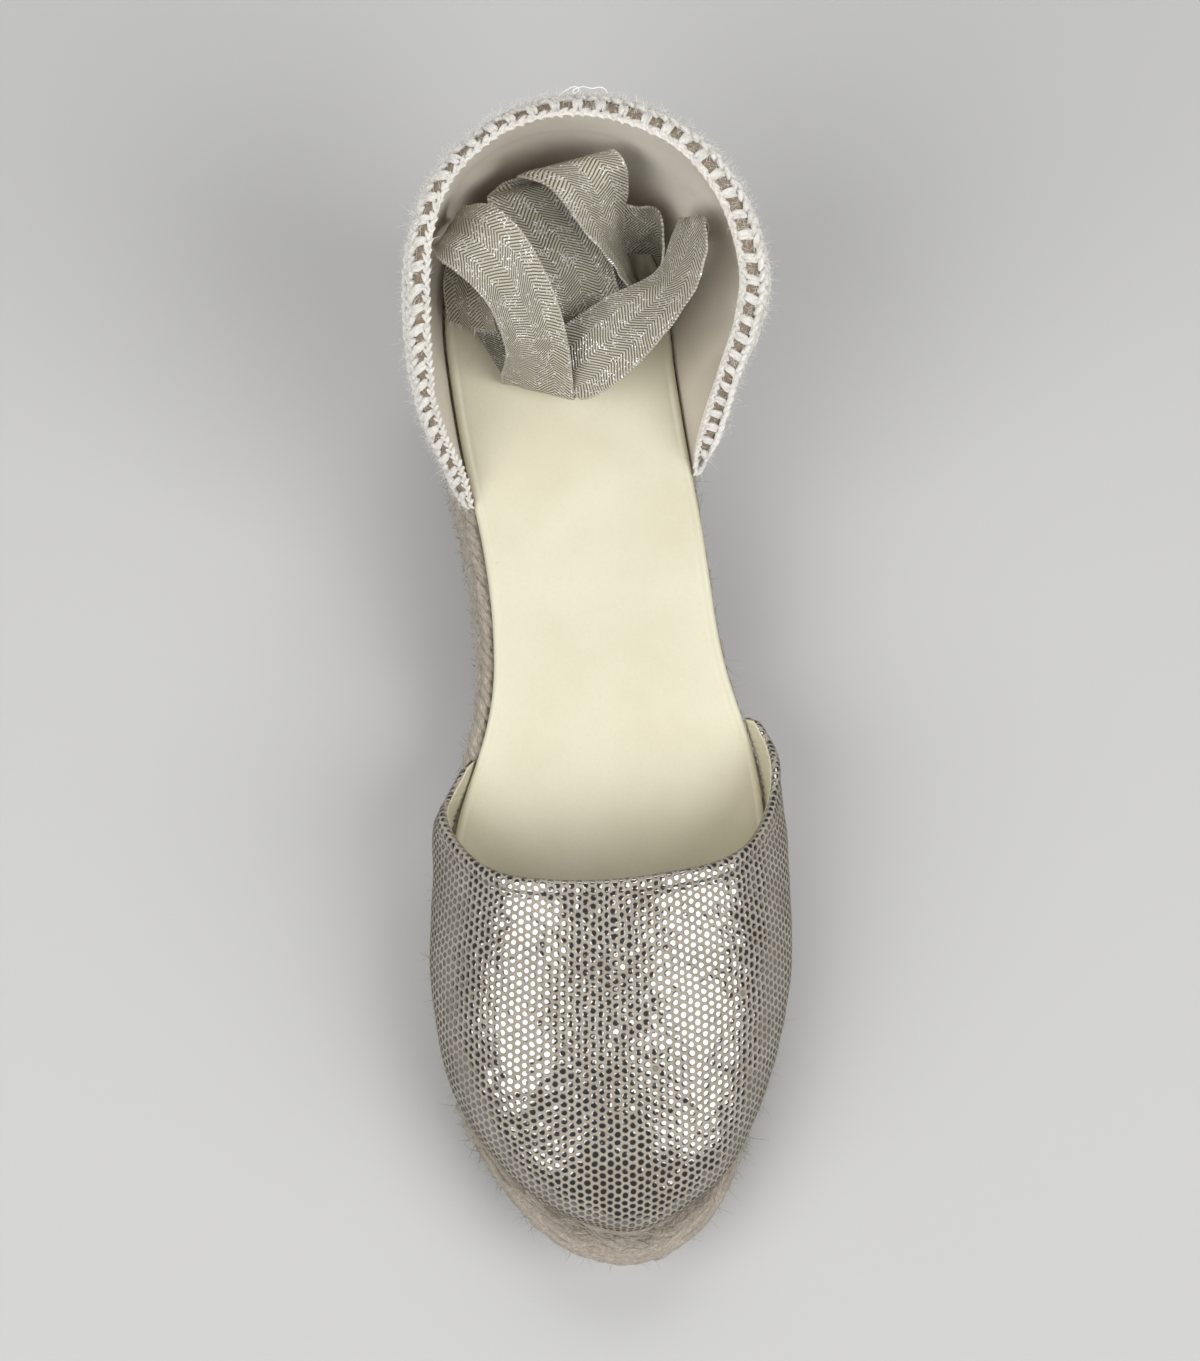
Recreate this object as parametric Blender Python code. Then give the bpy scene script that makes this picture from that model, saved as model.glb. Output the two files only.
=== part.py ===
"""Closed-toe wedge espadrille with a low heel counter and two ankle ties, left shoe.

Frame: +Z up, the toe towards -Y, the heel towards +Y, the inner (big-toe) side towards -X.
The shoe stands on its sole. All tables are in millimetres in the shoe's own sizes: s is the
distance back from the toe tip, x is measured from the heel's centre line, positive outwards.
"""

import math

import bmesh
import bpy
import numpy as np

# ---------------------------------------------------------------- driving sizes (mm)
LENGTH = 246.5  # toe tip to heel tip of the jute sole
CENTRE_X = 4.1  # the row's origin, from the heel's centre line
CENTRE_S = 123.6  # the row's origin, back from the toe tip
FIT_GAP = 0.3  # between pieces that lie on one another
SIDE_GAP = 0.5  # between the insole's edge and the upper's inner face
OUTSOLE_THICK = 4.0
INSOLE_THICK = 2.4
VAMP_WALL = 1.8
COUNTER_WALL = 2.4
TIE_WIDTH = 16.5
TIE_THICK = 0.6
TIE_LAYER = 1.05  # from one hidden fold to the next

# Insole outline, the last's bottom: a row for each station.
INSOLE_OUTLINE = (
    # s, medial_x, lateral_x
    (9.5, 2.5, 2.5),
    (11.8, -6.5, 11.3),
    (15.5, -12.6, 18.2),
    (20.0, -17.8, 23.6),
    (26.0, -23.4, 28.2),
    (32.5, -28.1, 31.9),
    (43.0, -32.6, 36.2),
    (55.0, -34.6, 40.0),
    (68.0, -35.2, 42.4),
    (80.0, -34.4, 43.3),
    (92.0, -32.8, 43.5),
    (104.0, -30.4, 43.2),
    (112.0, -27.5, 42.4),
    (120.0, -24.1, 40.8),
    (128.0, -21.3, 38.3),
    (136.0, -19.6, 36.0),
    (145.0, -19.0, 34.2),
    (155.0, -19.2, 32.9),
    (166.0, -20.3, 31.5),
    (178.0, -22.3, 29.6),
    (190.0, -24.1, 27.9),
    (202.0, -25.3, 26.6),
    (214.0, -25.8, 25.9),
    (225.0, -24.2, 24.2),
    (234.0, -18.9, 19.8),
    (240.0, -10.6, 11.8),
    (242.5, 0.6, 0.6),
)

# Top edge of the jute sole: it shows as a ledge round the toe and along the inner waist.
JUTE_OUTLINE = (
    # s, medial_x, lateral_x
    (0.0, 3.8, 3.8),
    (2.7, -8.4, 14.0),
    (8.0, -16.6, 21.6),
    (15.0, -23.2, 27.4),
    (22.0, -27.9, 31.4),
    (30.0, -32.0, 35.0),
    (40.0, -35.0, 39.2),
    (52.0, -36.8, 42.6),
    (66.0, -37.6, 45.0),
    (80.0, -37.0, 46.2),
    (92.0, -35.6, 46.3),
    (104.0, -33.4, 45.6),
    (113.0, -30.8, 44.2),
    (122.0, -27.3, 41.6),
    (131.0, -24.6, 38.9),
    (140.0, -23.2, 36.7),
    (150.0, -23.1, 35.0),
    (160.0, -23.8, 33.8),
    (172.0, -25.2, 32.3),
    (185.0, -27.2, 31.0),
    (200.0, -28.6, 30.1),
    (214.0, -29.1, 29.4),
    (226.0, -27.4, 27.6),
    (236.5, -21.4, 22.2),
    (243.2, -12.2, 13.2),
    (246.5, 0.6, 0.6),
)

# Heights along the shoe: toe spring below, the wedge's top above, the flare of its side.
SOLE_HEIGHTS = (
    # s, floor_z, jute_top_z, flare
    (0.0, 6.0, 21.4, -0.6),
    (10.0, 3.9, 19.8, -0.4),
    (22.0, 1.9, 18.4, 0.0),
    (36.0, 0.5, 17.4, 0.2),
    (48.0, 0.0, 17.0, 0.3),
    (75.0, 0.0, 17.0, 0.4),
    (95.0, 0.0, 18.0, 0.4),
    (115.0, 0.0, 21.6, 0.2),
    (135.0, 0.0, 29.0, 0.0),
    (155.0, 0.0, 38.8, -0.6),
    (175.0, 0.0, 48.4, -1.2),
    (195.0, 0.0, 56.0, -1.2),
    (215.0, 0.0, 61.0, -0.9),
    (232.0, 0.0, 63.5, -0.3),
    (247.0, 0.0, 64.6, 0.2),
)

# Side of the jute sole from its bottom to its top: how far each ring stands out.
JUTE_SIDE = (
    # height_share, outward, flare_share
    (0.00, -1.1, 1.0),
    (0.08, 0.0, 1.0),
    (0.45, 0.2, 0.8),
    (0.82, 0.0, 0.25),
    (0.94, -0.3, 0.0),
    (1.00, -1.5, 0.0),
)

# Ridge of the vamp: the roof that its cross-sections reach.
VAMP_ROOF = (
    # s, roof_z
    (4.0, 36.6),
    (20.0, 39.8),
    (35.0, 43.2),
    (50.0, 46.8),
    (65.0, 50.2),
    (84.0, 54.3),
    (100.0, 57.6),
    (130.0, 62.0),
)
VAMP_RIDGE_X = 3.0
VAMP_POLE_S = 72.0  # in front of it the sections fan round the toe
VAMP_POWER_SIDE = 2.3  # fullness of the section across the foot
VAMP_POWER_TOE = 3.1  # fullness of the section over the toe
VAMP_BULGE = 2.1  # how far the side stands out above its foot
VAMP_BULGE_HEIGHT = 8.5
VAMP_CORNER = math.radians(48)

# Top line of the vamp: its height above the jute along each side, from the throat back.
VAMP_TOP_LINE = (
    # medial_s, medial_h, lateral_s, lateral_h
    (84.0, 37.8, 84.0, 37.8),
    (84.9, 35.6, 84.8, 35.8),
    (87.4, 31.6, 86.8, 32.2),
    (91.6, 26.6, 91.2, 27.2),
    (96.6, 21.6, 97.0, 22.4),
    (102.4, 16.6, 104.0, 17.0),
    (108.4, 12.0, 111.4, 12.2),
    (114.2, 7.6, 118.2, 7.4),
    (119.4, 2.6, 124.6, 2.4),
)

# Heel counter: how high its rim is above the jute and how far its wall leans out.
COUNTER_RIM = (
    # s, medial_h, lateral_h, medial_flare, lateral_flare
    (173.5, 2.2, 0.6, 0.0, 0.0),
    (178.0, 8.0, 2.2, 2.4, 0.2),
    (185.0, 19.5, 15.5, 6.0, 3.6),
    (192.0, 31.0, 29.0, 7.0, 6.8),
    (200.0, 41.0, 39.5, 7.0, 11.2),
    (208.0, 47.8, 45.6, 6.6, 13.2),
    (216.0, 51.6, 49.6, 5.6, 12.2),
    (226.0, 54.4, 53.0, 3.2, 8.2),
    (236.0, 55.8, 55.2, 0.8, 3.0),
    (243.0, 56.2, 56.2, 0.6, 1.0),
)
COUNTER_PROFILE = (
    # height, share of the flare
    (0.0, 0.0),
    (10.0, 0.34),
    (20.0, 0.74),
    (30.0, 0.98),
    (38.0, 1.0),
    (46.0, 0.92),
    (58.0, 0.72),
)
COUNTER_CURL = 2.2  # the rim leans back in by this much
COUNTER_ENDS = (173.5, 178.0)  # s of its medial and lateral front ends
COUNTER_BACK_LEAN = 2.6  # the back's rim stands forward of its foot by this much

# Ankle ties, lying in the heel cup: a row for each place where the ribbon bends, with its two edges.
TIE_MEDIAL = (
    # a_x, a_s, a_z, b_x, b_s, b_z
    (-28.3, 221.4, 94.0, -22.3, 232.2, 82.0),  # sewn in under the rim
    (-28.3, 218.6, 99.5, -22.3, 230.6, 88.5),
    (-27.1, 215.6, 102.0, -19.4, 228.8, 98.0),
    (-23.9, 213.2, 101.5, -15.4, 226.1, 104.0),  # crest
    (-20.0, 210.2, 99.0, -10.9, 221.3, 105.0),
    (-17.5, 206.0, 95.0, -6.7, 217.9, 102.0),
    (-15.4, 202.2, 89.0, -3.4, 212.6, 97.0),
    (-14.0, 199.7, 81.5, -0.5, 206.8, 91.0),
    (-13.8, 199.1, 73.5, 1.2, 201.4, 82.0),
    (-14.3, 198.4, 67.0, 2.1, 197.6, 72.0),
    (-13.9, 197.8, 62.8, 2.4, 196.0, 65.0),  # front fold
    (-13.2, 199.6, 60.8, 3.2, 198.6, 60.7),
    (-15.6, 205.4, 62.2, 0.8, 204.8, 62.1),
)
TIE_MEDIAL_STACK = (-10.5, 212.0, 230.5, 11)  # middle x, front s, back s, layers
TIE_MEDIAL_END = (
    # a_x, a_s, a_z, b_x, b_s, b_z
    (-19.6, 231.2, 79.6, -3.6, 230.0, 80.6),
    (-22.4, 228.6, 79.6, -8.6, 223.6, 84.6),
    (-24.5, 225.2, 77.4, -13.5, 216.3, 86.0),
    (-25.8, 218.8, 76.0, -15.6, 209.7, 85.0),
    (-25.3, 212.3, 71.5, -14.8, 204.6, 82.0),  # cut end
)
TIE_LATERAL = (
    # a_x, a_s, a_z, b_x, b_s, b_z
    (31.6, 220.4, 91.0, 27.2, 225.2, 77.0),  # sewn in under the rim
    (31.8, 220.4, 99.0, 27.4, 225.6, 85.0),
    (30.2, 220.5, 105.5, 27.0, 226.0, 91.5),  # crest
    (30.3, 215.3, 105.5, 24.8, 220.9, 92.0),
    (29.2, 210.6, 103.0, 22.7, 216.7, 90.0),
    (27.1, 206.2, 98.5, 20.0, 214.8, 87.0),
    (24.1, 202.8, 94.0, 15.6, 213.0, 85.5),
    (20.6, 200.2, 88.5, 10.7, 211.8, 83.0),
    (16.4, 198.0, 81.4, 6.2, 210.2, 80.0),
    (11.8, 195.9, 75.4, 1.6, 208.4, 77.6),
    (7.3, 194.8, 69.5, -4.6, 205.6, 73.0),
    (4.0, 195.2, 66.4, -8.0, 206.0, 70.0),  # front fold
    (4.4, 197.0, 63.6, -7.6, 207.8, 66.6),
    (9.6, 201.0, 64.4, -3.6, 210.0, 66.6),
    (15.0, 204.8, 67.8, -0.6, 208.6, 68.0),
    (16.4, 209.4, 71.4, 0.6, 207.8, 71.4),
    (13.0, 215.0, 77.0, -1.8, 211.9, 76.4),
    (11.3, 221.9, 85.0, -4.5, 215.5, 83.6),
    (5.2, 229.6, 91.0, -10.1, 224.7, 89.0),
    (-0.5, 235.0, 93.0, -14.0, 232.4, 92.0),  # back fold
    (1.4, 237.4, 90.6, -12.5, 235.6, 90.0),
    (7.0, 238.2, 94.4, -8.8, 236.6, 92.4),
    (12.2, 237.8, 103.6, -8.4, 234.4, 99.0),  # slanted fold
    (14.6, 234.8, 103.6, -3.3, 231.4, 101.6),
    (15.8, 232.2, 95.0, 1.1, 226.0, 101.0),
    (14.7, 228.0, 86.5, 5.8, 220.8, 98.0),
    (15.8, 223.7, 77.6, 10.6, 216.6, 92.5),
    (20.9, 219.1, 66.0, 16.3, 214.3, 80.8),
    (23.6, 216.4, 65.4, 20.8, 213.4, 80.6),
    (26.2, 219.4, 67.4, 23.2, 218.6, 82.8),
    (24.8, 224.4, 70.4, 23.4, 228.2, 85.6),
    (22.4, 225.8, 72.0, 21.4, 230.6, 87.0),
    (18.4, 225.7, 73.4, 17.8, 230.4, 88.0),
    (14.6, 226.2, 75.6, 13.4, 230.4, 88.6),
    (10.8, 224.2, 74.6, 9.4, 231.6, 88.4),
    (6.8, 220.4, 73.8, 5.6, 232.6, 84.0),
    (2.6, 216.2, 72.6, 2.0, 231.4, 77.8),
    (-0.4, 213.3, 71.6, -0.4, 229.7, 74.4),
    (-1.5, 213.3, 70.9, -1.5, 229.7, 73.6),
)
TIE_LATERAL_STACK = (221.5, -1.0, 16.5, 7)  # middle s, inner x, outer x, layers
TIE_SLANTS = {(12.2, 237.8): 1.28, (14.6, 234.8): 1.1}  # rows where the fold runs slantwise


# ---------------------------------------------------------------- reading the tables
def column(table, index):
    return np.array([row[index] for row in table], float)


def read(table, index, at):
    """Smooth reading of a table's column at the given values of its first column."""
    x, y = column(table, 0), column(table, index)
    step = np.diff(x)
    slope = np.diff(y) / step
    m = np.zeros(len(x))
    m[0], m[-1] = slope[0], slope[-1]
    for i in range(1, len(x) - 1):
        if slope[i - 1] * slope[i] > 0:
            a, b = 2 * step[i] + step[i - 1], step[i] + 2 * step[i - 1]
            m[i] = (a + b) / (a / slope[i - 1] + b / slope[i])
    at = np.clip(np.asarray(at, float), x[0], x[-1])
    i = np.clip(np.searchsorted(x, at, side="right") - 1, 0, len(x) - 2)
    h = step[i]
    t = (at - x[i]) / h
    return (
        (1 + 2 * t) * (1 - t) ** 2 * y[i]
        + t * (1 - t) ** 2 * h * m[i]
        + t * t * (3 - 2 * t) * y[i + 1]
        + t * t * (t - 1) * h * m[i + 1]
    )


def spline(points, per_span=12, closed=False):
    """Centripetal Catmull-Rom curve through the points."""
    p = np.asarray(points, float)
    if closed:
        p = np.vstack([p[-1], p, p[0], p[1]])
    else:
        p = np.vstack([2 * p[0] - p[1], p, 2 * p[-1] - p[-2]])
    out = []
    for a, b, c, d in zip(p, p[1:], p[2:], p[3:]):
        t1 = np.linalg.norm(b - a) ** 0.5
        t2 = t1 + np.linalg.norm(c - b) ** 0.5
        t3 = t2 + np.linalg.norm(d - c) ** 0.5
        for t in np.linspace(t1, t2, per_span, endpoint=False):
            ab = (t1 - t) / t1 * a + t / t1 * b
            bc = (t2 - t) / (t2 - t1) * b + (t - t1) / (t2 - t1) * c
            cd = (t3 - t) / (t3 - t2) * c + (t - t2) / (t3 - t2) * d
            abc = (t2 - t) / t2 * ab + t / t2 * bc
            bcd = (t3 - t) / (t3 - t1) * bc + (t - t1) / (t3 - t1) * cd
            out.append((t2 - t) / (t2 - t1) * abc + (t - t1) / (t2 - t1) * bcd)
    if not closed:
        out.append(p[-2])
    return np.array(out)


def evenly(curve, count):
    """The curve read at count points the same distance apart."""
    far = np.concatenate([[0], np.cumsum(np.linalg.norm(np.diff(curve, axis=0), axis=1))])
    at = np.linspace(0, far[-1], count)
    return np.stack([np.interp(at, far, curve[:, k]) for k in range(curve.shape[1])], axis=1)


def outline(table, stations):
    """Points (x, s) of a closed outline: from the toe tip along the outer side to the heel, then back."""
    rows = [(row[2], row[0]) for row in table]
    rows += [(row[1], row[0]) for row in table[-2:0:-1]]
    curve = spline(rows, 14, closed=True)
    tip = (len(table) - 1) * 14
    outer = evenly(curve[: tip + 1], stations + 1)
    inner = evenly(np.vstack([curve[tip:], curve[:1]]), stations + 1)
    return np.vstack([outer, inner[1:-1]])


def outward(ring):
    """Unit normals of a closed outline, pointing out."""
    along = np.roll(ring, -1, axis=0) - np.roll(ring, 1, axis=0)
    out = np.stack([along[:, 1], -along[:, 0]], axis=1)
    return out / np.linalg.norm(out, axis=1)[:, None]


def jute_top(s):
    return read(SOLE_HEIGHTS, 2, s)


def floor_line(s):
    return read(SOLE_HEIGHTS, 1, s)


def placed(points):
    """Shoe sizes (x, s, z) in millimetres to the row's frame in metres."""
    p = np.array(points, float).reshape(-1, 3)
    return (p - np.array([CENTRE_X, CENTRE_S, 0.0])) / 1000


# ---------------------------------------------------------------- building solids
def solid(name, points, faces, colour, roughness, metallic=0.0):
    mesh = bpy.data.meshes.new(name)
    work = bmesh.new()
    corners = [work.verts.new(tuple(p)) for p in placed(points)]
    for face in faces:
        if len(set(face)) == len(face):
            work.faces.new([corners[i] for i in face])
    bmesh.ops.recalc_face_normals(work, faces=work.faces)
    bmesh.ops.triangulate(work, faces=work.faces)
    work.to_mesh(mesh)
    work.free()
    mesh.shade_smooth()
    mesh.set_sharp_from_angle(angle=math.radians(40))
    obj = bpy.data.objects.new(name, mesh)
    bpy.context.scene.collection.objects.link(obj)
    obj.parent = bpy.data.objects["shoe"]
    finish = bpy.data.materials.new(name + "_finish")
    finish.use_nodes = True
    shader = finish.node_tree.nodes["Principled BSDF"]
    shader.inputs["Base Color"].default_value = (*colour, 1)
    shader.inputs["Roughness"].default_value = roughness
    shader.inputs["Metallic"].default_value = metallic
    mesh.materials.append(finish)
    return obj


def sole_layer(name, rings, across, finish):
    """A closed layer from its rings of (x, s, z), bottom to top, with a cap of cross rows at each end."""
    count = len(rings[0])
    half = count // 2
    points = [p for ring in rings for p in ring]
    faces = []
    for k in range(len(rings) - 1):
        for i in range(count):
            j = (i + 1) % count
            faces.append((k * count + i, k * count + j, (k + 1) * count + j, (k + 1) * count + i))
    for level, ring in ((0, rings[0]), (len(rings) - 1, rings[-1])):
        base = level * count
        rows = [[base] * (across + 1)]
        for i in range(1, half):
            a, b = ring[i], ring[count - i]
            row = [base + i]
            for k in range(1, across):
                x, s = a[:2] + (b[:2] - a[:2]) * k / across
                row.append(len(points))
                points.append((x, s, finish["bottom"](s) if level == 0 else finish["top"](s)))
            rows.append(row + [base + count - i])
        rows.append([base + half] * (across + 1))
        for r0, r1 in zip(rows, rows[1:]):
            for k in range(across):
                face = (r0[k], r0[k + 1], r1[k + 1], r1[k])
                faces.append(tuple(dict.fromkeys(face)))
    return solid(name, points, faces, finish["colour"], finish["roughness"])


def raised(ring, heights):
    return np.column_stack([ring, heights])


def build_outsole():
    ring = outline(JUTE_OUTLINE, 40)
    out = outward(ring)
    flare = read(SOLE_HEIGHTS, 3, ring[:, 1])[:, None]

    def at(offset, lift):
        moved = ring + out * (offset + flare)
        return raised(moved, floor_line(moved[:, 1]) + lift)

    rings = [at(-3.2, 0.0), at(-2.2, 0.8), at(-2.0, OUTSOLE_THICK - 0.6), at(-2.4, OUTSOLE_THICK)]
    sole_layer(
        "outsole",
        rings,
        4,
        {
            "bottom": floor_line,
            "top": lambda s: floor_line(s) + OUTSOLE_THICK,
            "colour": (0.42, 0.34, 0.24),
            "roughness": 0.7,
        },
    )


def build_jute():
    ring = outline(JUTE_OUTLINE, 56)
    out = outward(ring)
    flare = read(SOLE_HEIGHTS, 3, ring[:, 1])

    def low(s):
        return floor_line(s) + OUTSOLE_THICK + FIT_GAP

    rings = []
    for share, offset, flared in JUTE_SIDE:
        moved = ring + out * (offset + flare * flared)[:, None]
        s = moved[:, 1]
        rings.append(raised(moved, low(s) + (jute_top(s) - low(s)) * share))
    sole_layer(
        "jute_sole",
        rings,
        4,
        {"bottom": low, "top": jute_top, "colour": (0.48, 0.4, 0.29), "roughness": 0.9},
    )


def build_insole():
    ring = outline(INSOLE_OUTLINE, 48)
    out = outward(ring)

    def low(s):
        return jute_top(s) + FIT_GAP

    def at(offset, lift):
        moved = ring + out * offset
        return raised(moved, low(moved[:, 1]) + lift)

    rings = [at(-0.3, 0.0), at(0.0, 1.4), at(-0.9, INSOLE_THICK)]
    sole_layer(
        "insole",
        rings,
        6,
        {
            "bottom": low,
            "top": lambda s: low(s) + INSOLE_THICK,
            "colour": (0.8, 0.76, 0.6),
            "roughness": 0.5,
        },
    )


# ---------------------------------------------------------------- vamp
def vamp_foot():
    """The vamp's outer foot line (x, s), wide enough for the wall outside the insole."""
    ring = outline(INSOLE_OUTLINE, 160)
    return ring + outward(ring) * (SIDE_GAP + VAMP_WALL)


class Vamp:
    """The vamp's outer face, as a height over the plan, unrolled round the ridge and the pole."""

    def __init__(self):
        foot = vamp_foot()
        half = len(foot) // 2
        lateral = foot[: half + 1]
        medial = np.vstack([foot[half:], foot[:1]])[::-1]
        self.sides = {}
        for sign, side in ((1, lateral), (-1, medial)):
            order = np.argsort(side[:, 1])
            self.sides[sign] = (side[order, 1], side[order, 0])
        pole = np.array([VAMP_RIDGE_X, VAMP_POLE_S])
        around = foot[foot[:, 1] < VAMP_POLE_S + 30] - pole
        angle = np.arctan2(around[:, 0], -around[:, 1])
        order = np.argsort(angle)
        self.angles = angle[order]
        self.reach = np.linalg.norm(around, axis=1)[order]

    def span(self, turn, s):
        """Distance from the ridge to the foot: turn is the fan's angle, or +-90 degrees behind the pole."""
        if abs(turn) < math.pi / 2 - 1e-9:
            return float(np.interp(turn, self.angles, self.reach))
        sign = 1 if turn > 0 else -1
        x = float(np.interp(s, *self.sides[sign]))
        return sign * (x - VAMP_RIDGE_X)

    def point(self, turn, s, r):
        """Outer face at share r from the foot (0) to the ridge (1)."""
        fan = abs(turn) < math.pi / 2 - 1e-9
        reach = self.span(turn, s)
        direction = np.array([math.sin(turn), -math.cos(turn) if fan else 0.0])
        centre = np.array([VAMP_RIDGE_X, VAMP_POLE_S if fan else s])
        foot = centre + direction * reach
        x, y = centre + direction * reach * (1 - r)
        power = VAMP_POWER_SIDE + (VAMP_POWER_TOE - VAMP_POWER_SIDE) * (
            max(0.0, math.cos(turn)) ** 2 if fan else 0.0
        )
        full = max(0.0, 1 - (1 - r) ** power) ** (1 / power)
        low = float(jute_top(foot[1])) + FIT_GAP
        height = (float(read(VAMP_ROOF, 1, y)) - low) * full
        bulge = VAMP_BULGE * (1 - 0.62 * (max(0.0, math.cos(turn)) ** 2 if fan else 0.0))
        grown = height / VAMP_BULGE_HEIGHT
        x, y = np.array([x, y]) + direction * bulge * grown * math.exp(1 - grown)
        return np.array([x, y, low + height])

    def share_at(self, turn, s, height):
        """The share r where the outer face is this high above its foot."""
        low, high = 0.0, 1.0
        for _ in range(40):
            middle = (low + high) / 2
            foot_z = self.point(turn, s, 0.0)[2]
            if self.point(turn, s, middle)[2] - foot_z < height:
                low = middle
            else:
                high = middle
        return (low + high) / 2

    @staticmethod
    def stretch(r):
        """Share of the way along the surface, from the ridge (0) to the foot (1)."""
        return (1 - r) * (1 + 0.42 * (1 - r) ** 3)

    @staticmethod
    def unstretch(q):
        low, high = 0.0, 1.0
        for _ in range(40):
            middle = (low + high) / 2
            if Vamp.stretch(1 - middle) < q:
                low = middle
            else:
                high = middle
        return 1 - (low + high) / 2

    def unroll(self, turn, s, r):
        """Place on the unrolled plan, where the sides lie flat."""
        fan = abs(turn) < math.pi / 2 - 1e-9
        q = self.span(turn, s) * self.stretch(r)
        if fan:
            return np.array([q * math.sin(turn), VAMP_POLE_S - q * math.cos(turn)])
        return np.array([math.copysign(q, turn), s])

    def roll(self, place):
        """From the unrolled plan back to the shoe."""
        across, s = place
        if s < VAMP_POLE_S:
            turn = math.atan2(across, VAMP_POLE_S - s)
            q = math.hypot(across, VAMP_POLE_S - s)
        else:
            turn = math.copysign(math.pi / 2, across)
            q = abs(across)
        reach = self.span(turn, s)
        return self.point(turn, s, self.unstretch(min(q / reach, 1.42)))

    def borders(self, fine=60):
        """Foot round the toe, top line, and the foot of each side, on the unrolled plan."""
        toe = [self.unroll(a, 0, 0.0) for a in np.linspace(-VAMP_CORNER, VAMP_CORNER, fine)]
        sides, tops = [], []
        for sign, ks, kh in ((-1, 0, 1), (1, 2, 3)):
            end = VAMP_TOP_LINE[-1][ks]
            side = [self.unroll(sign * a, 0, 0.0) for a in np.linspace(VAMP_CORNER, math.pi / 2 - 1e-3, fine)]
            side += [self.unroll(sign * math.pi / 2, s, 0.0) for s in np.linspace(VAMP_POLE_S + 1, end, fine)]
            line = [np.array([0.0, VAMP_TOP_LINE[0][ks]])]
            for row in VAMP_TOP_LINE[1:]:
                r = self.share_at(sign * math.pi / 2, row[ks], row[kh])
                line.append(self.unroll(sign * math.pi / 2, row[ks], r))
            line.append(self.unroll(sign * math.pi / 2, end + 0.4, 0.0))
            side[-1] = line[-1]
            sides.append(np.array(side))
            tops.append(line)
        top = tops[0][::-1] + tops[1][1:]
        return np.array(toe), spline(top, 16), sides[0], sides[1]

    def grid(self, columns, rows):
        """The outer face as a grid of points: rows from the toe to the top line."""
        toe, top, medial, lateral = self.borders()
        front, back = evenly(toe, columns + 1), evenly(top, columns + 1)
        left, right = evenly(medial, rows + 1), evenly(lateral, rows + 1)
        grid = np.zeros((rows + 1, columns + 1, 3))
        for i in range(rows + 1):
            b = i / rows
            for j in range(columns + 1):
                a = j / columns
                plan = (1 - b) * front[j] + b * back[j] + (1 - a) * left[i] + a * right[i]
                plan -= (1 - a) * (1 - b) * front[0] + a * (1 - b) * front[-1]
                plan -= (1 - a) * b * back[0] + a * b * back[-1]
                grid[i, j] = self.roll(plan)
        return grid


def grid_normals(grid):
    """Unit normals of a grid of points."""
    down, along = np.gradient(grid, axis=0), np.gradient(grid, axis=1)
    n = np.cross(along, down)
    return n / np.maximum(np.linalg.norm(n, axis=2), 1e-9)[..., None]


def shell(name, outer, inner, colour, roughness, metallic=0.0):
    """A wall between two grids of the same size, closed round its rim."""
    rows, cols = outer.shape[:2]
    points = np.vstack([outer.reshape(-1, 3), inner.reshape(-1, 3)])
    skip = rows * cols

    def at(i, j, layer):
        return layer * skip + i * cols + j

    faces = []
    for i in range(rows - 1):
        for j in range(cols - 1):
            faces.append((at(i, j, 0), at(i + 1, j, 0), at(i + 1, j + 1, 0), at(i, j + 1, 0)))
            faces.append((at(i, j, 1), at(i, j + 1, 1), at(i + 1, j + 1, 1), at(i + 1, j, 1)))
    rim = [(0, j) for j in range(cols)] + [(i, cols - 1) for i in range(1, rows)]
    rim += [(rows - 1, j) for j in range(cols - 2, -1, -1)] + [(i, 0) for i in range(rows - 2, 0, -1)]
    for (i0, j0), (i1, j1) in zip(rim, rim[1:] + rim[:1]):
        faces.append((at(i0, j0, 0), at(i1, j1, 0), at(i1, j1, 1), at(i0, j0, 1)))
    return solid(name, points, faces, colour, roughness, metallic)


def build_vamp():
    outer = Vamp().grid(28, 24)
    n = grid_normals(outer)
    if n[12, 14, 2] < 0:
        n = -n
    inner = outer - n * VAMP_WALL
    # The foot stands on the jute all the way round, both faces of it.
    for face in (outer, inner):
        for edge in (face[0], face[:, 0], face[:, -1]):
            edge[:, 2] = jute_top(edge[:, 1]) + FIT_GAP
    shell("vamp", outer, inner, (0.42, 0.38, 0.33), 0.45, 0.4)


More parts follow.
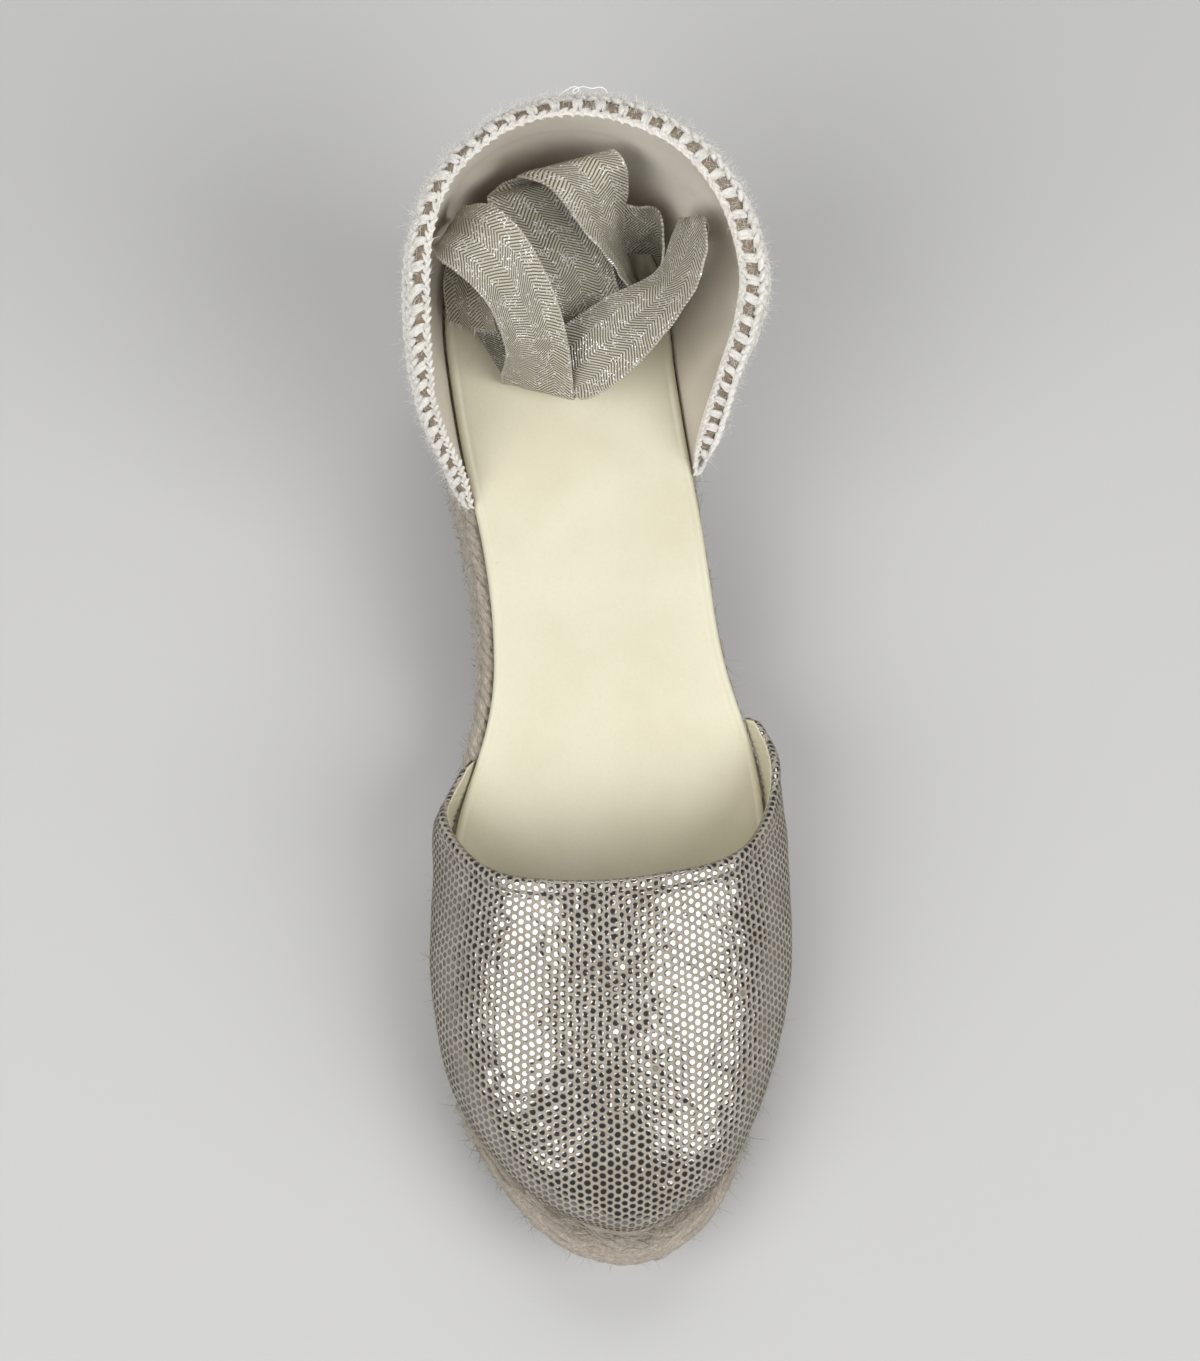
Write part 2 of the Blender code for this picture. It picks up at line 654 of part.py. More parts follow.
# ---------------------------------------------------------------- heel counter
def counter_grid(columns, rows):
    """Inner face of the counter: columns from the medial front end round the heel, rows from foot to rim."""
    ring = outline(INSOLE_OUTLINE, 200)
    out = outward(ring)
    ring = ring + out * SIDE_GAP
    half = len(ring) // 2
    medial = [i for i in range(half, len(ring)) if ring[i, 1] >= COUNTER_ENDS[0]][::-1]
    lateral = [i for i in range(0, half) if ring[i, 1] >= COUNTER_ENDS[1]][::-1]
    path = np.array([[*ring[i], *out[i]] for i in medial + lateral])
    far = np.concatenate([[0], np.cumsum(np.linalg.norm(np.diff(path[:, :2], axis=0), axis=1))])
    at = np.linspace(0, far[-1], columns + 1)
    path = np.stack([np.interp(at, far, path[:, k]) for k in range(4)], axis=1)
    grid = np.zeros((rows + 1, columns + 1, 3))
    for j, (x, s, nx, ns) in enumerate(path):
        share = float(np.clip((nx + 1) / 2, 0, 1))  # 0 on the inner side, 1 on the outer
        share = share * share * (3 - 2 * share)
        rim = (1 - share) * read(COUNTER_RIM, 1, s) + share * read(COUNTER_RIM, 2, s)
        flare = (1 - share) * read(COUNTER_RIM, 3, s) + share * read(COUNTER_RIM, 4, s)
        back = max(0.0, ns) ** 2
        for i in range(rows + 1):
            v = i / rows
            h = rim * v
            lean = flare * float(read(COUNTER_PROFILE, 1, h))
            lean -= COUNTER_CURL * min(1.0, rim / 40) * max(0.0, (v - 0.62) / 0.38) ** 2
            lean += back * (1.6 * math.sin(math.pi * min(1.0, h / 40)) - COUNTER_BACK_LEAN * v**2)
            px, ps = x + nx * lean, s + ns * lean
            grid[i, j] = (px, ps, float(jute_top(s)) + FIT_GAP + h)
    return grid


def build_counter():
    inner = counter_grid(60, 11)
    n = grid_normals(inner)
    if n[5, 30, 1] < 0:
        n = -n
    outer = inner + n * COUNTER_WALL
    for face in (outer, inner):
        face[0, :, 2] = jute_top(face[0, :, 1]) + FIT_GAP
    shell("heel_counter", outer, inner, (0.62, 0.57, 0.49), 0.85)


# ---------------------------------------------------------------- ankle ties
def insole_top(s):
    return jute_top(s) + FIT_GAP + INSOLE_THICK


def tie_edges(rows):
    """Each row's two edges, with the ribbon's true width between them."""
    edges = []
    for row in rows:
        a, b = np.array(row[:3], float), np.array(row[3:], float)
        middle, across = (a + b) / 2, (b - a) / np.linalg.norm(b - a)
        reach = TIE_WIDTH / 2 * TIE_SLANTS.get((row[0], row[1]), 1.0)
        edges.append(np.concatenate([middle - across * reach, middle + across * reach]))
    return edges


def tie_folds(start, end, layers, rising):
    """Places (distance, level) down a stack of flat folds, with a bend between two layers."""
    places = []
    order = range(layers) if rising else range(layers - 1, -1, -1)
    run = (start, (start + end) / 2, end)
    for k in order:
        places += [(at, k) for at in run]
        if k != order[-1]:
            turn = math.copysign(TIE_LAYER / 2, run[-1] - run[0])
            places.append((run[-1] + turn, k + (0.5 if rising else -0.5)))
        run = run[::-1]
    return places


def on_insole(x, s, level):
    """A point on the given layer of the folds that lie on the insole."""
    return [x, s, float(insole_top(s)) + 0.9 + level * TIE_LAYER]


def lengthwise_folds(middle, front, back, layers):
    """Folds that run from the front to the back and up."""
    half = TIE_WIDTH / 2
    return [
        np.array(on_insole(middle - half, s, k) + on_insole(middle + half, s, k))
        for s, k in tie_folds(front, back, layers, True)
    ]


def crosswise_folds(middle, inner, outer, layers):
    """Folds that run from side to side and down."""
    half = TIE_WIDTH / 2
    return [
        np.array(on_insole(x, middle - half, k) + on_insole(x, middle + half, k))
        for x, k in tie_folds(inner, outer, layers, False)
    ]


def ribbon(name, bends, flat_rows, ends, per_span):
    """A flat band: smooth through the bends, straight through the flat folds."""
    parts = []
    if bends:
        parts.append(spline(bends, per_span))
    parts.append(np.array(flat_rows))
    if ends:
        parts.append(spline(ends, per_span))
    edges = np.vstack(parts)
    a, b = edges[:, :3], edges[:, 3:]
    along = np.gradient((a + b) / 2, axis=0)
    face = np.cross(along, b - a)
    face /= np.linalg.norm(face, axis=1)[:, None]
    half = face * TIE_THICK / 2
    points, faces = [], []
    for k in range(len(edges)):
        points += [a[k] + half[k], b[k] + half[k], b[k] - half[k], a[k] - half[k]]
        if k:
            base = 4 * k
            for i in range(4):
                j = (i + 1) % 4
                faces.append((base - 4 + i, base - 4 + j, base + j, base + i))
    faces.append((0, 1, 2, 3))
    faces.append(tuple(len(points) - 4 + i for i in range(4)))
    return solid(name, points, faces, (0.36, 0.33, 0.28), 0.55, 0.2)


def build_ties():
    ribbon(
        "tie_medial",
        tie_edges(TIE_MEDIAL),
        lengthwise_folds(*TIE_MEDIAL_STACK),
        tie_edges(TIE_MEDIAL_END),
        3,
    )
    ribbon(
        "tie_lateral",
        tie_edges(TIE_LATERAL),
        crosswise_folds(*TIE_LATERAL_STACK),
        None,
        3,
    )


# ---------------------------------------------------------------- the shoe
for old in list(bpy.data.objects):
    bpy.data.objects.remove(old, do_unlink=True)
shoe = bpy.data.objects.new("shoe", None)
bpy.context.scene.collection.objects.link(shoe)
build_outsole()
build_jute()
build_insole()
build_vamp()
build_counter()
build_ties()
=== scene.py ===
"""Looks of the left wedge espadrille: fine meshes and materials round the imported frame."""

import math

import bpy
import numpy as np
from mathutils import Matrix, Vector


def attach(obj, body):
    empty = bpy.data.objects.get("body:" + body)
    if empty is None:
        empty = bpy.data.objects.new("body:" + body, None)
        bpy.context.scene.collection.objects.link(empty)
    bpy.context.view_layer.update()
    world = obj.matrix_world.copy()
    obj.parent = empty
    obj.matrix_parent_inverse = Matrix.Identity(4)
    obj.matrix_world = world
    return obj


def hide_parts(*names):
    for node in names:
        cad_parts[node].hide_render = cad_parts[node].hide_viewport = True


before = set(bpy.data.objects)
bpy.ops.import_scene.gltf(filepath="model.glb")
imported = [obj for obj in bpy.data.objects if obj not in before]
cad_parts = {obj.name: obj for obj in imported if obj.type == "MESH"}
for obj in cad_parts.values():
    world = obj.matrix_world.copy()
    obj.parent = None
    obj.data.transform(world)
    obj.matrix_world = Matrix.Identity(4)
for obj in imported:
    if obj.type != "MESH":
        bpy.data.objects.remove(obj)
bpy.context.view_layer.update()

# ---------------------------------------------------------------- sizes, as in the CAD (mm)
LENGTH = 246.5  # toe tip to heel tip of the jute sole
CENTRE_X = 4.1  # the row's origin, from the heel's centre line
CENTRE_S = 123.6  # the row's origin, back from the toe tip
FIT_GAP = 0.3  # between pieces that lie on one another
SIDE_GAP = 0.5  # between the insole's edge and the upper's inner face
OUTSOLE_THICK = 4.0
INSOLE_THICK = 2.4
VAMP_WALL = 1.8
COUNTER_WALL = 2.4
TIE_WIDTH = 16.5
TIE_THICK = 0.6
TIE_LAYER = 1.05  # from one hidden fold to the next

# Insole outline, the last's bottom: a row for each station.
INSOLE_OUTLINE = (
    # s, medial_x, lateral_x
    (9.5, 2.5, 2.5),
    (11.8, -6.5, 11.3),
    (15.5, -12.6, 18.2),
    (20.0, -17.8, 23.6),
    (26.0, -23.4, 28.2),
    (32.5, -28.1, 31.9),
    (43.0, -32.6, 36.2),
    (55.0, -34.6, 40.0),
    (68.0, -35.2, 42.4),
    (80.0, -34.4, 43.3),
    (92.0, -32.8, 43.5),
    (104.0, -30.4, 43.2),
    (112.0, -27.5, 42.4),
    (120.0, -24.1, 40.8),
    (128.0, -21.3, 38.3),
    (136.0, -19.6, 36.0),
    (145.0, -19.0, 34.2),
    (155.0, -19.2, 32.9),
    (166.0, -20.3, 31.5),
    (178.0, -22.3, 29.6),
    (190.0, -24.1, 27.9),
    (202.0, -25.3, 26.6),
    (214.0, -25.8, 25.9),
    (225.0, -24.2, 24.2),
    (234.0, -18.9, 19.8),
    (240.0, -10.6, 11.8),
    (242.5, 0.6, 0.6),
)

# Top edge of the jute sole: it shows as a ledge round the toe and along the inner waist.
JUTE_OUTLINE = (
    # s, medial_x, lateral_x
    (0.0, 3.8, 3.8),
    (2.7, -8.4, 14.0),
    (8.0, -16.6, 21.6),
    (15.0, -23.2, 27.4),
    (22.0, -27.9, 31.4),
    (30.0, -32.0, 35.0),
    (40.0, -35.0, 39.2),
    (52.0, -36.8, 42.6),
    (66.0, -37.6, 45.0),
    (80.0, -37.0, 46.2),
    (92.0, -35.6, 46.3),
    (104.0, -33.4, 45.6),
    (113.0, -30.8, 44.2),
    (122.0, -27.3, 41.6),
    (131.0, -24.6, 38.9),
    (140.0, -23.2, 36.7),
    (150.0, -23.1, 35.0),
    (160.0, -23.8, 33.8),
    (172.0, -25.2, 32.3),
    (185.0, -27.2, 31.0),
    (200.0, -28.6, 30.1),
    (214.0, -29.1, 29.4),
    (226.0, -27.4, 27.6),
    (236.5, -21.4, 22.2),
    (243.2, -12.2, 13.2),
    (246.5, 0.6, 0.6),
)

# Heights along the shoe: toe spring below, the wedge's top above, the flare of its side.
SOLE_HEIGHTS = (
    # s, floor_z, jute_top_z, flare
    (0.0, 6.0, 21.4, -0.6),
    (10.0, 3.9, 19.8, -0.4),
    (22.0, 1.9, 18.4, 0.0),
    (36.0, 0.5, 17.4, 0.2),
    (48.0, 0.0, 17.0, 0.3),
    (75.0, 0.0, 17.0, 0.4),
    (95.0, 0.0, 18.0, 0.4),
    (115.0, 0.0, 21.6, 0.2),
    (135.0, 0.0, 29.0, 0.0),
    (155.0, 0.0, 38.8, -0.6),
    (175.0, 0.0, 48.4, -1.2),
    (195.0, 0.0, 56.0, -1.2),
    (215.0, 0.0, 61.0, -0.9),
    (232.0, 0.0, 63.5, -0.3),
    (247.0, 0.0, 64.6, 0.2),
)

# Side of the jute sole from its bottom to its top: how far each ring stands out.
JUTE_SIDE = (
    # height_share, outward, flare_share
    (0.00, -1.1, 1.0),
    (0.08, 0.0, 1.0),
    (0.45, 0.2, 0.8),
    (0.82, 0.0, 0.25),
    (0.94, -0.3, 0.0),
    (1.00, -1.5, 0.0),
)

# Ridge of the vamp: the roof that its cross-sections reach.
VAMP_ROOF = (
    # s, roof_z
    (4.0, 36.6),
    (20.0, 39.8),
    (35.0, 43.2),
    (50.0, 46.8),
    (65.0, 50.2),
    (84.0, 54.3),
    (100.0, 57.6),
    (130.0, 62.0),
)
VAMP_RIDGE_X = 3.0
VAMP_POLE_S = 72.0  # in front of it the sections fan round the toe
VAMP_POWER_SIDE = 2.3  # fullness of the section across the foot
VAMP_POWER_TOE = 3.1  # fullness of the section over the toe
VAMP_BULGE = 2.1  # how far the side stands out above its foot
VAMP_BULGE_HEIGHT = 8.5
VAMP_CORNER = math.radians(48)

# Top line of the vamp: its height above the jute along each side, from the throat back.
VAMP_TOP_LINE = (
    # medial_s, medial_h, lateral_s, lateral_h
    (84.0, 37.8, 84.0, 37.8),
    (84.9, 35.6, 84.8, 35.8),
    (87.4, 31.6, 86.8, 32.2),
    (91.6, 26.6, 91.2, 27.2),
    (96.6, 21.6, 97.0, 22.4),
    (102.4, 16.6, 104.0, 17.0),
    (108.4, 12.0, 111.4, 12.2),
    (114.2, 7.6, 118.2, 7.4),
    (119.4, 2.6, 124.6, 2.4),
)

# Heel counter: how high its rim is above the jute and how far its wall leans out.
COUNTER_RIM = (
    # s, medial_h, lateral_h, medial_flare, lateral_flare
    (173.5, 2.2, 0.6, 0.0, 0.0),
    (178.0, 8.0, 2.2, 2.4, 0.2),
    (185.0, 19.5, 15.5, 6.0, 3.6),
    (192.0, 31.0, 29.0, 7.0, 6.8),
    (200.0, 41.0, 39.5, 7.0, 11.2),
    (208.0, 47.8, 45.6, 6.6, 13.2),
    (216.0, 51.6, 49.6, 5.6, 12.2),
    (226.0, 54.4, 53.0, 3.2, 8.2),
    (236.0, 55.8, 55.2, 0.8, 3.0),
    (243.0, 56.2, 56.2, 0.6, 1.0),
)
COUNTER_PROFILE = (
    # height, share of the flare
    (0.0, 0.0),
    (10.0, 0.34),
    (20.0, 0.74),
    (30.0, 0.98),
    (38.0, 1.0),
    (46.0, 0.92),
    (58.0, 0.72),
)
COUNTER_CURL = 2.2  # the rim leans back in by this much
COUNTER_ENDS = (173.5, 178.0)  # s of its medial and lateral front ends
COUNTER_BACK_LEAN = 2.6  # the back's rim stands forward of its foot by this much

# Ankle ties, lying in the heel cup: a row for each place where the ribbon bends, with its two edges.
TIE_MEDIAL = (
    # a_x, a_s, a_z, b_x, b_s, b_z
    (-28.3, 221.4, 94.0, -22.3, 232.2, 82.0),  # sewn in under the rim
    (-28.3, 218.6, 99.5, -22.3, 230.6, 88.5),
    (-27.1, 215.6, 102.0, -19.4, 228.8, 98.0),
    (-23.9, 213.2, 101.5, -15.4, 226.1, 104.0),  # crest
    (-20.0, 210.2, 99.0, -10.9, 221.3, 105.0),
    (-17.5, 206.0, 95.0, -6.7, 217.9, 102.0),
    (-15.4, 202.2, 89.0, -3.4, 212.6, 97.0),
    (-14.0, 199.7, 81.5, -0.5, 206.8, 91.0),
    (-13.8, 199.1, 73.5, 1.2, 201.4, 82.0),
    (-14.3, 198.4, 67.0, 2.1, 197.6, 72.0),
    (-13.9, 197.8, 62.8, 2.4, 196.0, 65.0),  # front fold
    (-13.2, 199.6, 60.8, 3.2, 198.6, 60.7),
    (-15.6, 205.4, 62.2, 0.8, 204.8, 62.1),
)
TIE_MEDIAL_STACK = (-10.5, 212.0, 230.5, 11)  # middle x, front s, back s, layers
TIE_MEDIAL_END = (
    # a_x, a_s, a_z, b_x, b_s, b_z
    (-19.6, 231.2, 79.6, -3.6, 230.0, 80.6),
    (-22.4, 228.6, 79.6, -8.6, 223.6, 84.6),
    (-24.5, 225.2, 77.4, -13.5, 216.3, 86.0),
    (-25.8, 218.8, 76.0, -15.6, 209.7, 85.0),
    (-25.3, 212.3, 71.5, -14.8, 204.6, 82.0),  # cut end
)
TIE_LATERAL = (
    # a_x, a_s, a_z, b_x, b_s, b_z
    (31.6, 220.4, 91.0, 27.2, 225.2, 77.0),  # sewn in under the rim
    (31.8, 220.4, 99.0, 27.4, 225.6, 85.0),
    (30.2, 220.5, 105.5, 27.0, 226.0, 91.5),  # crest
    (30.3, 215.3, 105.5, 24.8, 220.9, 92.0),
    (29.2, 210.6, 103.0, 22.7, 216.7, 90.0),
    (27.1, 206.2, 98.5, 20.0, 214.8, 87.0),
    (24.1, 202.8, 94.0, 15.6, 213.0, 85.5),
    (20.6, 200.2, 88.5, 10.7, 211.8, 83.0),
    (16.4, 198.0, 81.4, 6.2, 210.2, 80.0),
    (11.8, 195.9, 75.4, 1.6, 208.4, 77.6),
    (7.3, 194.8, 69.5, -4.6, 205.6, 73.0),
    (4.0, 195.2, 66.4, -8.0, 206.0, 70.0),  # front fold
    (4.4, 197.0, 63.6, -7.6, 207.8, 66.6),
    (9.6, 201.0, 64.4, -3.6, 210.0, 66.6),
    (15.0, 204.8, 67.8, -0.6, 208.6, 68.0),
    (16.4, 209.4, 71.4, 0.6, 207.8, 71.4),
    (13.0, 215.0, 77.0, -1.8, 211.9, 76.4),
    (11.3, 221.9, 85.0, -4.5, 215.5, 83.6),
    (5.2, 229.6, 91.0, -10.1, 224.7, 89.0),
    (-0.5, 235.0, 93.0, -14.0, 232.4, 92.0),  # back fold
    (1.4, 237.4, 90.6, -12.5, 235.6, 90.0),
    (7.0, 238.2, 94.4, -8.8, 236.6, 92.4),
    (12.2, 237.8, 103.6, -8.4, 234.4, 99.0),  # slanted fold
    (14.6, 234.8, 103.6, -3.3, 231.4, 101.6),
    (15.8, 232.2, 95.0, 1.1, 226.0, 101.0),
    (14.7, 228.0, 86.5, 5.8, 220.8, 98.0),
    (15.8, 223.7, 77.6, 10.6, 216.6, 92.5),
    (20.9, 219.1, 66.0, 16.3, 214.3, 80.8),
    (23.6, 216.4, 65.4, 20.8, 213.4, 80.6),
    (26.2, 219.4, 67.4, 23.2, 218.6, 82.8),
    (24.8, 224.4, 70.4, 23.4, 228.2, 85.6),
    (22.4, 225.8, 72.0, 21.4, 230.6, 87.0),
    (18.4, 225.7, 73.4, 17.8, 230.4, 88.0),
    (14.6, 226.2, 75.6, 13.4, 230.4, 88.6),
    (10.8, 224.2, 74.6, 9.4, 231.6, 88.4),
    (6.8, 220.4, 73.8, 5.6, 232.6, 84.0),
    (2.6, 216.2, 72.6, 2.0, 231.4, 77.8),
    (-0.4, 213.3, 71.6, -0.4, 229.7, 74.4),
    (-1.5, 213.3, 70.9, -1.5, 229.7, 73.6),
)
TIE_LATERAL_STACK = (221.5, -1.0, 16.5, 7)  # middle s, inner x, outer x, layers
TIE_SLANTS = {(12.2, 237.8): 1.28, (14.6, 234.8): 1.1}  # rows where the fold runs slantwise


# ---------------------------------------------------------------- reading the tables
def column(table, index):
    return np.array([row[index] for row in table], float)


def read(table, index, at):
    """Smooth reading of a table's column at the given values of its first column."""
    x, y = column(table, 0), column(table, index)
    step = np.diff(x)
    slope = np.diff(y) / step
    m = np.zeros(len(x))
    m[0], m[-1] = slope[0], slope[-1]
    for i in range(1, len(x) - 1):
        if slope[i - 1] * slope[i] > 0:
            a, b = 2 * step[i] + step[i - 1], step[i] + 2 * step[i - 1]
            m[i] = (a + b) / (a / slope[i - 1] + b / slope[i])
    at = np.clip(np.asarray(at, float), x[0], x[-1])
    i = np.clip(np.searchsorted(x, at, side="right") - 1, 0, len(x) - 2)
    h = step[i]
    t = (at - x[i]) / h
    return (
        (1 + 2 * t) * (1 - t) ** 2 * y[i]
        + t * (1 - t) ** 2 * h * m[i]
        + t * t * (3 - 2 * t) * y[i + 1]
        + t * t * (t - 1) * h * m[i + 1]
    )


def spline(points, per_span=12, closed=False):
    """Centripetal Catmull-Rom curve through the points."""
    p = np.asarray(points, float)
    if closed:
        p = np.vstack([p[-1], p, p[0], p[1]])
    else:
        p = np.vstack([2 * p[0] - p[1], p, 2 * p[-1] - p[-2]])
    out = []
    for a, b, c, d in zip(p, p[1:], p[2:], p[3:]):
        t1 = np.linalg.norm(b - a) ** 0.5
        t2 = t1 + np.linalg.norm(c - b) ** 0.5
        t3 = t2 + np.linalg.norm(d - c) ** 0.5
        for t in np.linspace(t1, t2, per_span, endpoint=False):
            ab = (t1 - t) / t1 * a + t / t1 * b
            bc = (t2 - t) / (t2 - t1) * b + (t - t1) / (t2 - t1) * c
            cd = (t3 - t) / (t3 - t2) * c + (t - t2) / (t3 - t2) * d
            abc = (t2 - t) / t2 * ab + t / t2 * bc
            bcd = (t3 - t) / (t3 - t1) * bc + (t - t1) / (t3 - t1) * cd
            out.append((t2 - t) / (t2 - t1) * abc + (t - t1) / (t2 - t1) * bcd)
    if not closed:
        out.append(p[-2])
    return np.array(out)


def evenly(curve, count):
    """The curve read at count points the same distance apart."""
    far = np.concatenate([[0], np.cumsum(np.linalg.norm(np.diff(curve, axis=0), axis=1))])
    at = np.linspace(0, far[-1], count)
    return np.stack([np.interp(at, far, curve[:, k]) for k in range(curve.shape[1])], axis=1)


def outline(table, stations):
    """Points (x, s) of a closed outline: from the toe tip along the outer side to the heel, then back."""
    rows = [(row[2], row[0]) for row in table]
    rows += [(row[1], row[0]) for row in table[-2:0:-1]]
    curve = spline(rows, 14, closed=True)
    tip = (len(table) - 1) * 14
    outer = evenly(curve[: tip + 1], stations + 1)
    inner = evenly(np.vstack([curve[tip:], curve[:1]]), stations + 1)
    return np.vstack([outer, inner[1:-1]])


def outward(ring):
    """Unit normals of a closed outline, pointing out."""
    along = np.roll(ring, -1, axis=0) - np.roll(ring, 1, axis=0)
    out = np.stack([along[:, 1], -along[:, 0]], axis=1)
    return out / np.linalg.norm(out, axis=1)[:, None]


def jute_top(s):
    return read(SOLE_HEIGHTS, 2, s)


def floor_line(s):
    return read(SOLE_HEIGHTS, 1, s)


def placed(points):
    """Shoe sizes (x, s, z) in millimetres to the row's frame in metres."""
    p = np.array(points, float).reshape(-1, 3)
    return (p - np.array([CENTRE_X, CENTRE_S, 0.0])) / 1000


# ---------------------------------------------------------------- vamp
def vamp_foot():
    """The vamp's outer foot line (x, s), wide enough for the wall outside the insole."""
    ring = outline(INSOLE_OUTLINE, 160)
    return ring + outward(ring) * (SIDE_GAP + VAMP_WALL)


class Vamp:
    """The vamp's outer face, as a height over the plan, unrolled round the ridge and the pole."""

    def __init__(self):
        foot = vamp_foot()
        half = len(foot) // 2
        lateral = foot[: half + 1]
        medial = np.vstack([foot[half:], foot[:1]])[::-1]
        self.sides = {}
        for sign, side in ((1, lateral), (-1, medial)):
            order = np.argsort(side[:, 1])
            self.sides[sign] = (side[order, 1], side[order, 0])
        pole = np.array([VAMP_RIDGE_X, VAMP_POLE_S])
        around = foot[foot[:, 1] < VAMP_POLE_S + 30] - pole
        angle = np.arctan2(around[:, 0], -around[:, 1])
        order = np.argsort(angle)
        self.angles = angle[order]
        self.reach = np.linalg.norm(around, axis=1)[order]

    def span(self, turn, s):
        """Distance from the ridge to the foot: turn is the fan's angle, or +-90 degrees behind the pole."""
        if abs(turn) < math.pi / 2 - 1e-9:
            return float(np.interp(turn, self.angles, self.reach))
        sign = 1 if turn > 0 else -1
        x = float(np.interp(s, *self.sides[sign]))
        return sign * (x - VAMP_RIDGE_X)

    def point(self, turn, s, r):
        """Outer face at share r from the foot (0) to the ridge (1)."""
        fan = abs(turn) < math.pi / 2 - 1e-9
        reach = self.span(turn, s)
        direction = np.array([math.sin(turn), -math.cos(turn) if fan else 0.0])
        centre = np.array([VAMP_RIDGE_X, VAMP_POLE_S if fan else s])
        foot = centre + direction * reach
        x, y = centre + direction * reach * (1 - r)
        power = VAMP_POWER_SIDE + (VAMP_POWER_TOE - VAMP_POWER_SIDE) * (
            max(0.0, math.cos(turn)) ** 2 if fan else 0.0
        )
        full = max(0.0, 1 - (1 - r) ** power) ** (1 / power)
        low = float(jute_top(foot[1])) + FIT_GAP
        height = (float(read(VAMP_ROOF, 1, y)) - low) * full
        bulge = VAMP_BULGE * (1 - 0.62 * (max(0.0, math.cos(turn)) ** 2 if fan else 0.0))
        grown = height / VAMP_BULGE_HEIGHT
        x, y = np.array([x, y]) + direction * bulge * grown * math.exp(1 - grown)
        return np.array([x, y, low + height])

    def share_at(self, turn, s, height):
        """The share r where the outer face is this high above its foot."""
        low, high = 0.0, 1.0
        for _ in range(40):
            middle = (low + high) / 2
            foot_z = self.point(turn, s, 0.0)[2]
            if self.point(turn, s, middle)[2] - foot_z < height:
                low = middle
            else:
                high = middle
        return (low + high) / 2

    @staticmethod
    def stretch(r):
        """Share of the way along the surface, from the ridge (0) to the foot (1)."""
        return (1 - r) * (1 + 0.42 * (1 - r) ** 3)

    @staticmethod
    def unstretch(q):
        low, high = 0.0, 1.0
        for _ in range(40):
            middle = (low + high) / 2
            if Vamp.stretch(1 - middle) < q:
                low = middle
            else:
                high = middle
        return 1 - (low + high) / 2

    def unroll(self, turn, s, r):
        """Place on the unrolled plan, where the sides lie flat."""
        fan = abs(turn) < math.pi / 2 - 1e-9
        q = self.span(turn, s) * self.stretch(r)
        if fan:
            return np.array([q * math.sin(turn), VAMP_POLE_S - q * math.cos(turn)])
        return np.array([math.copysign(q, turn), s])

    def roll(self, place):
        """From the unrolled plan back to the shoe."""
        across, s = place
        if s < VAMP_POLE_S:
            turn = math.atan2(across, VAMP_POLE_S - s)
            q = math.hypot(across, VAMP_POLE_S - s)
        else:
            turn = math.copysign(math.pi / 2, across)
            q = abs(across)
        reach = self.span(turn, s)
        return self.point(turn, s, self.unstretch(min(q / reach, 1.42)))

    def borders(self, fine=60):
        """Foot round the toe, top line, and the foot of each side, on the unrolled plan."""
        toe = [self.unroll(a, 0, 0.0) for a in np.linspace(-VAMP_CORNER, VAMP_CORNER, fine)]
        sides, tops = [], []
        for sign, ks, kh in ((-1, 0, 1), (1, 2, 3)):
            end = VAMP_TOP_LINE[-1][ks]
            side = [self.unroll(sign * a, 0, 0.0) for a in np.linspace(VAMP_CORNER, math.pi / 2 - 1e-3, fine)]
            side += [self.unroll(sign * math.pi / 2, s, 0.0) for s in np.linspace(VAMP_POLE_S + 1, end, fine)]
            line = [np.array([0.0, VAMP_TOP_LINE[0][ks]])]
            for row in VAMP_TOP_LINE[1:]:
                r = self.share_at(sign * math.pi / 2, row[ks], row[kh])
                line.append(self.unroll(sign * math.pi / 2, row[ks], r))
            line.append(self.unroll(sign * math.pi / 2, end + 0.4, 0.0))
            side[-1] = line[-1]
            sides.append(np.array(side))
            tops.append(line)
        top = tops[0][::-1] + tops[1][1:]
        return np.array(toe), spline(top, 16), sides[0], sides[1]

    def grid(self, columns, rows):
        """The outer face as a grid of points: rows from the toe to the top line."""
        toe, top, medial, lateral = self.borders()
        front, back = evenly(toe, columns + 1), evenly(top, columns + 1)
        left, right = evenly(medial, rows + 1), evenly(lateral, rows + 1)
        grid = np.zeros((rows + 1, columns + 1, 3))
        for i in range(rows + 1):
            b = i / rows
            for j in range(columns + 1):
                a = j / columns
                plan = (1 - b) * front[j] + b * back[j] + (1 - a) * left[i] + a * right[i]
                plan -= (1 - a) * (1 - b) * front[0] + a * (1 - b) * front[-1]
                plan -= (1 - a) * b * back[0] + a * b * back[-1]
                grid[i, j] = self.roll(plan)
        return grid


def grid_normals(grid):
    """Unit normals of a grid of points."""
    down, along = np.gradient(grid, axis=0), np.gradient(grid, axis=1)
    n = np.cross(along, down)
    return n / np.maximum(np.linalg.norm(n, axis=2), 1e-9)[..., None]


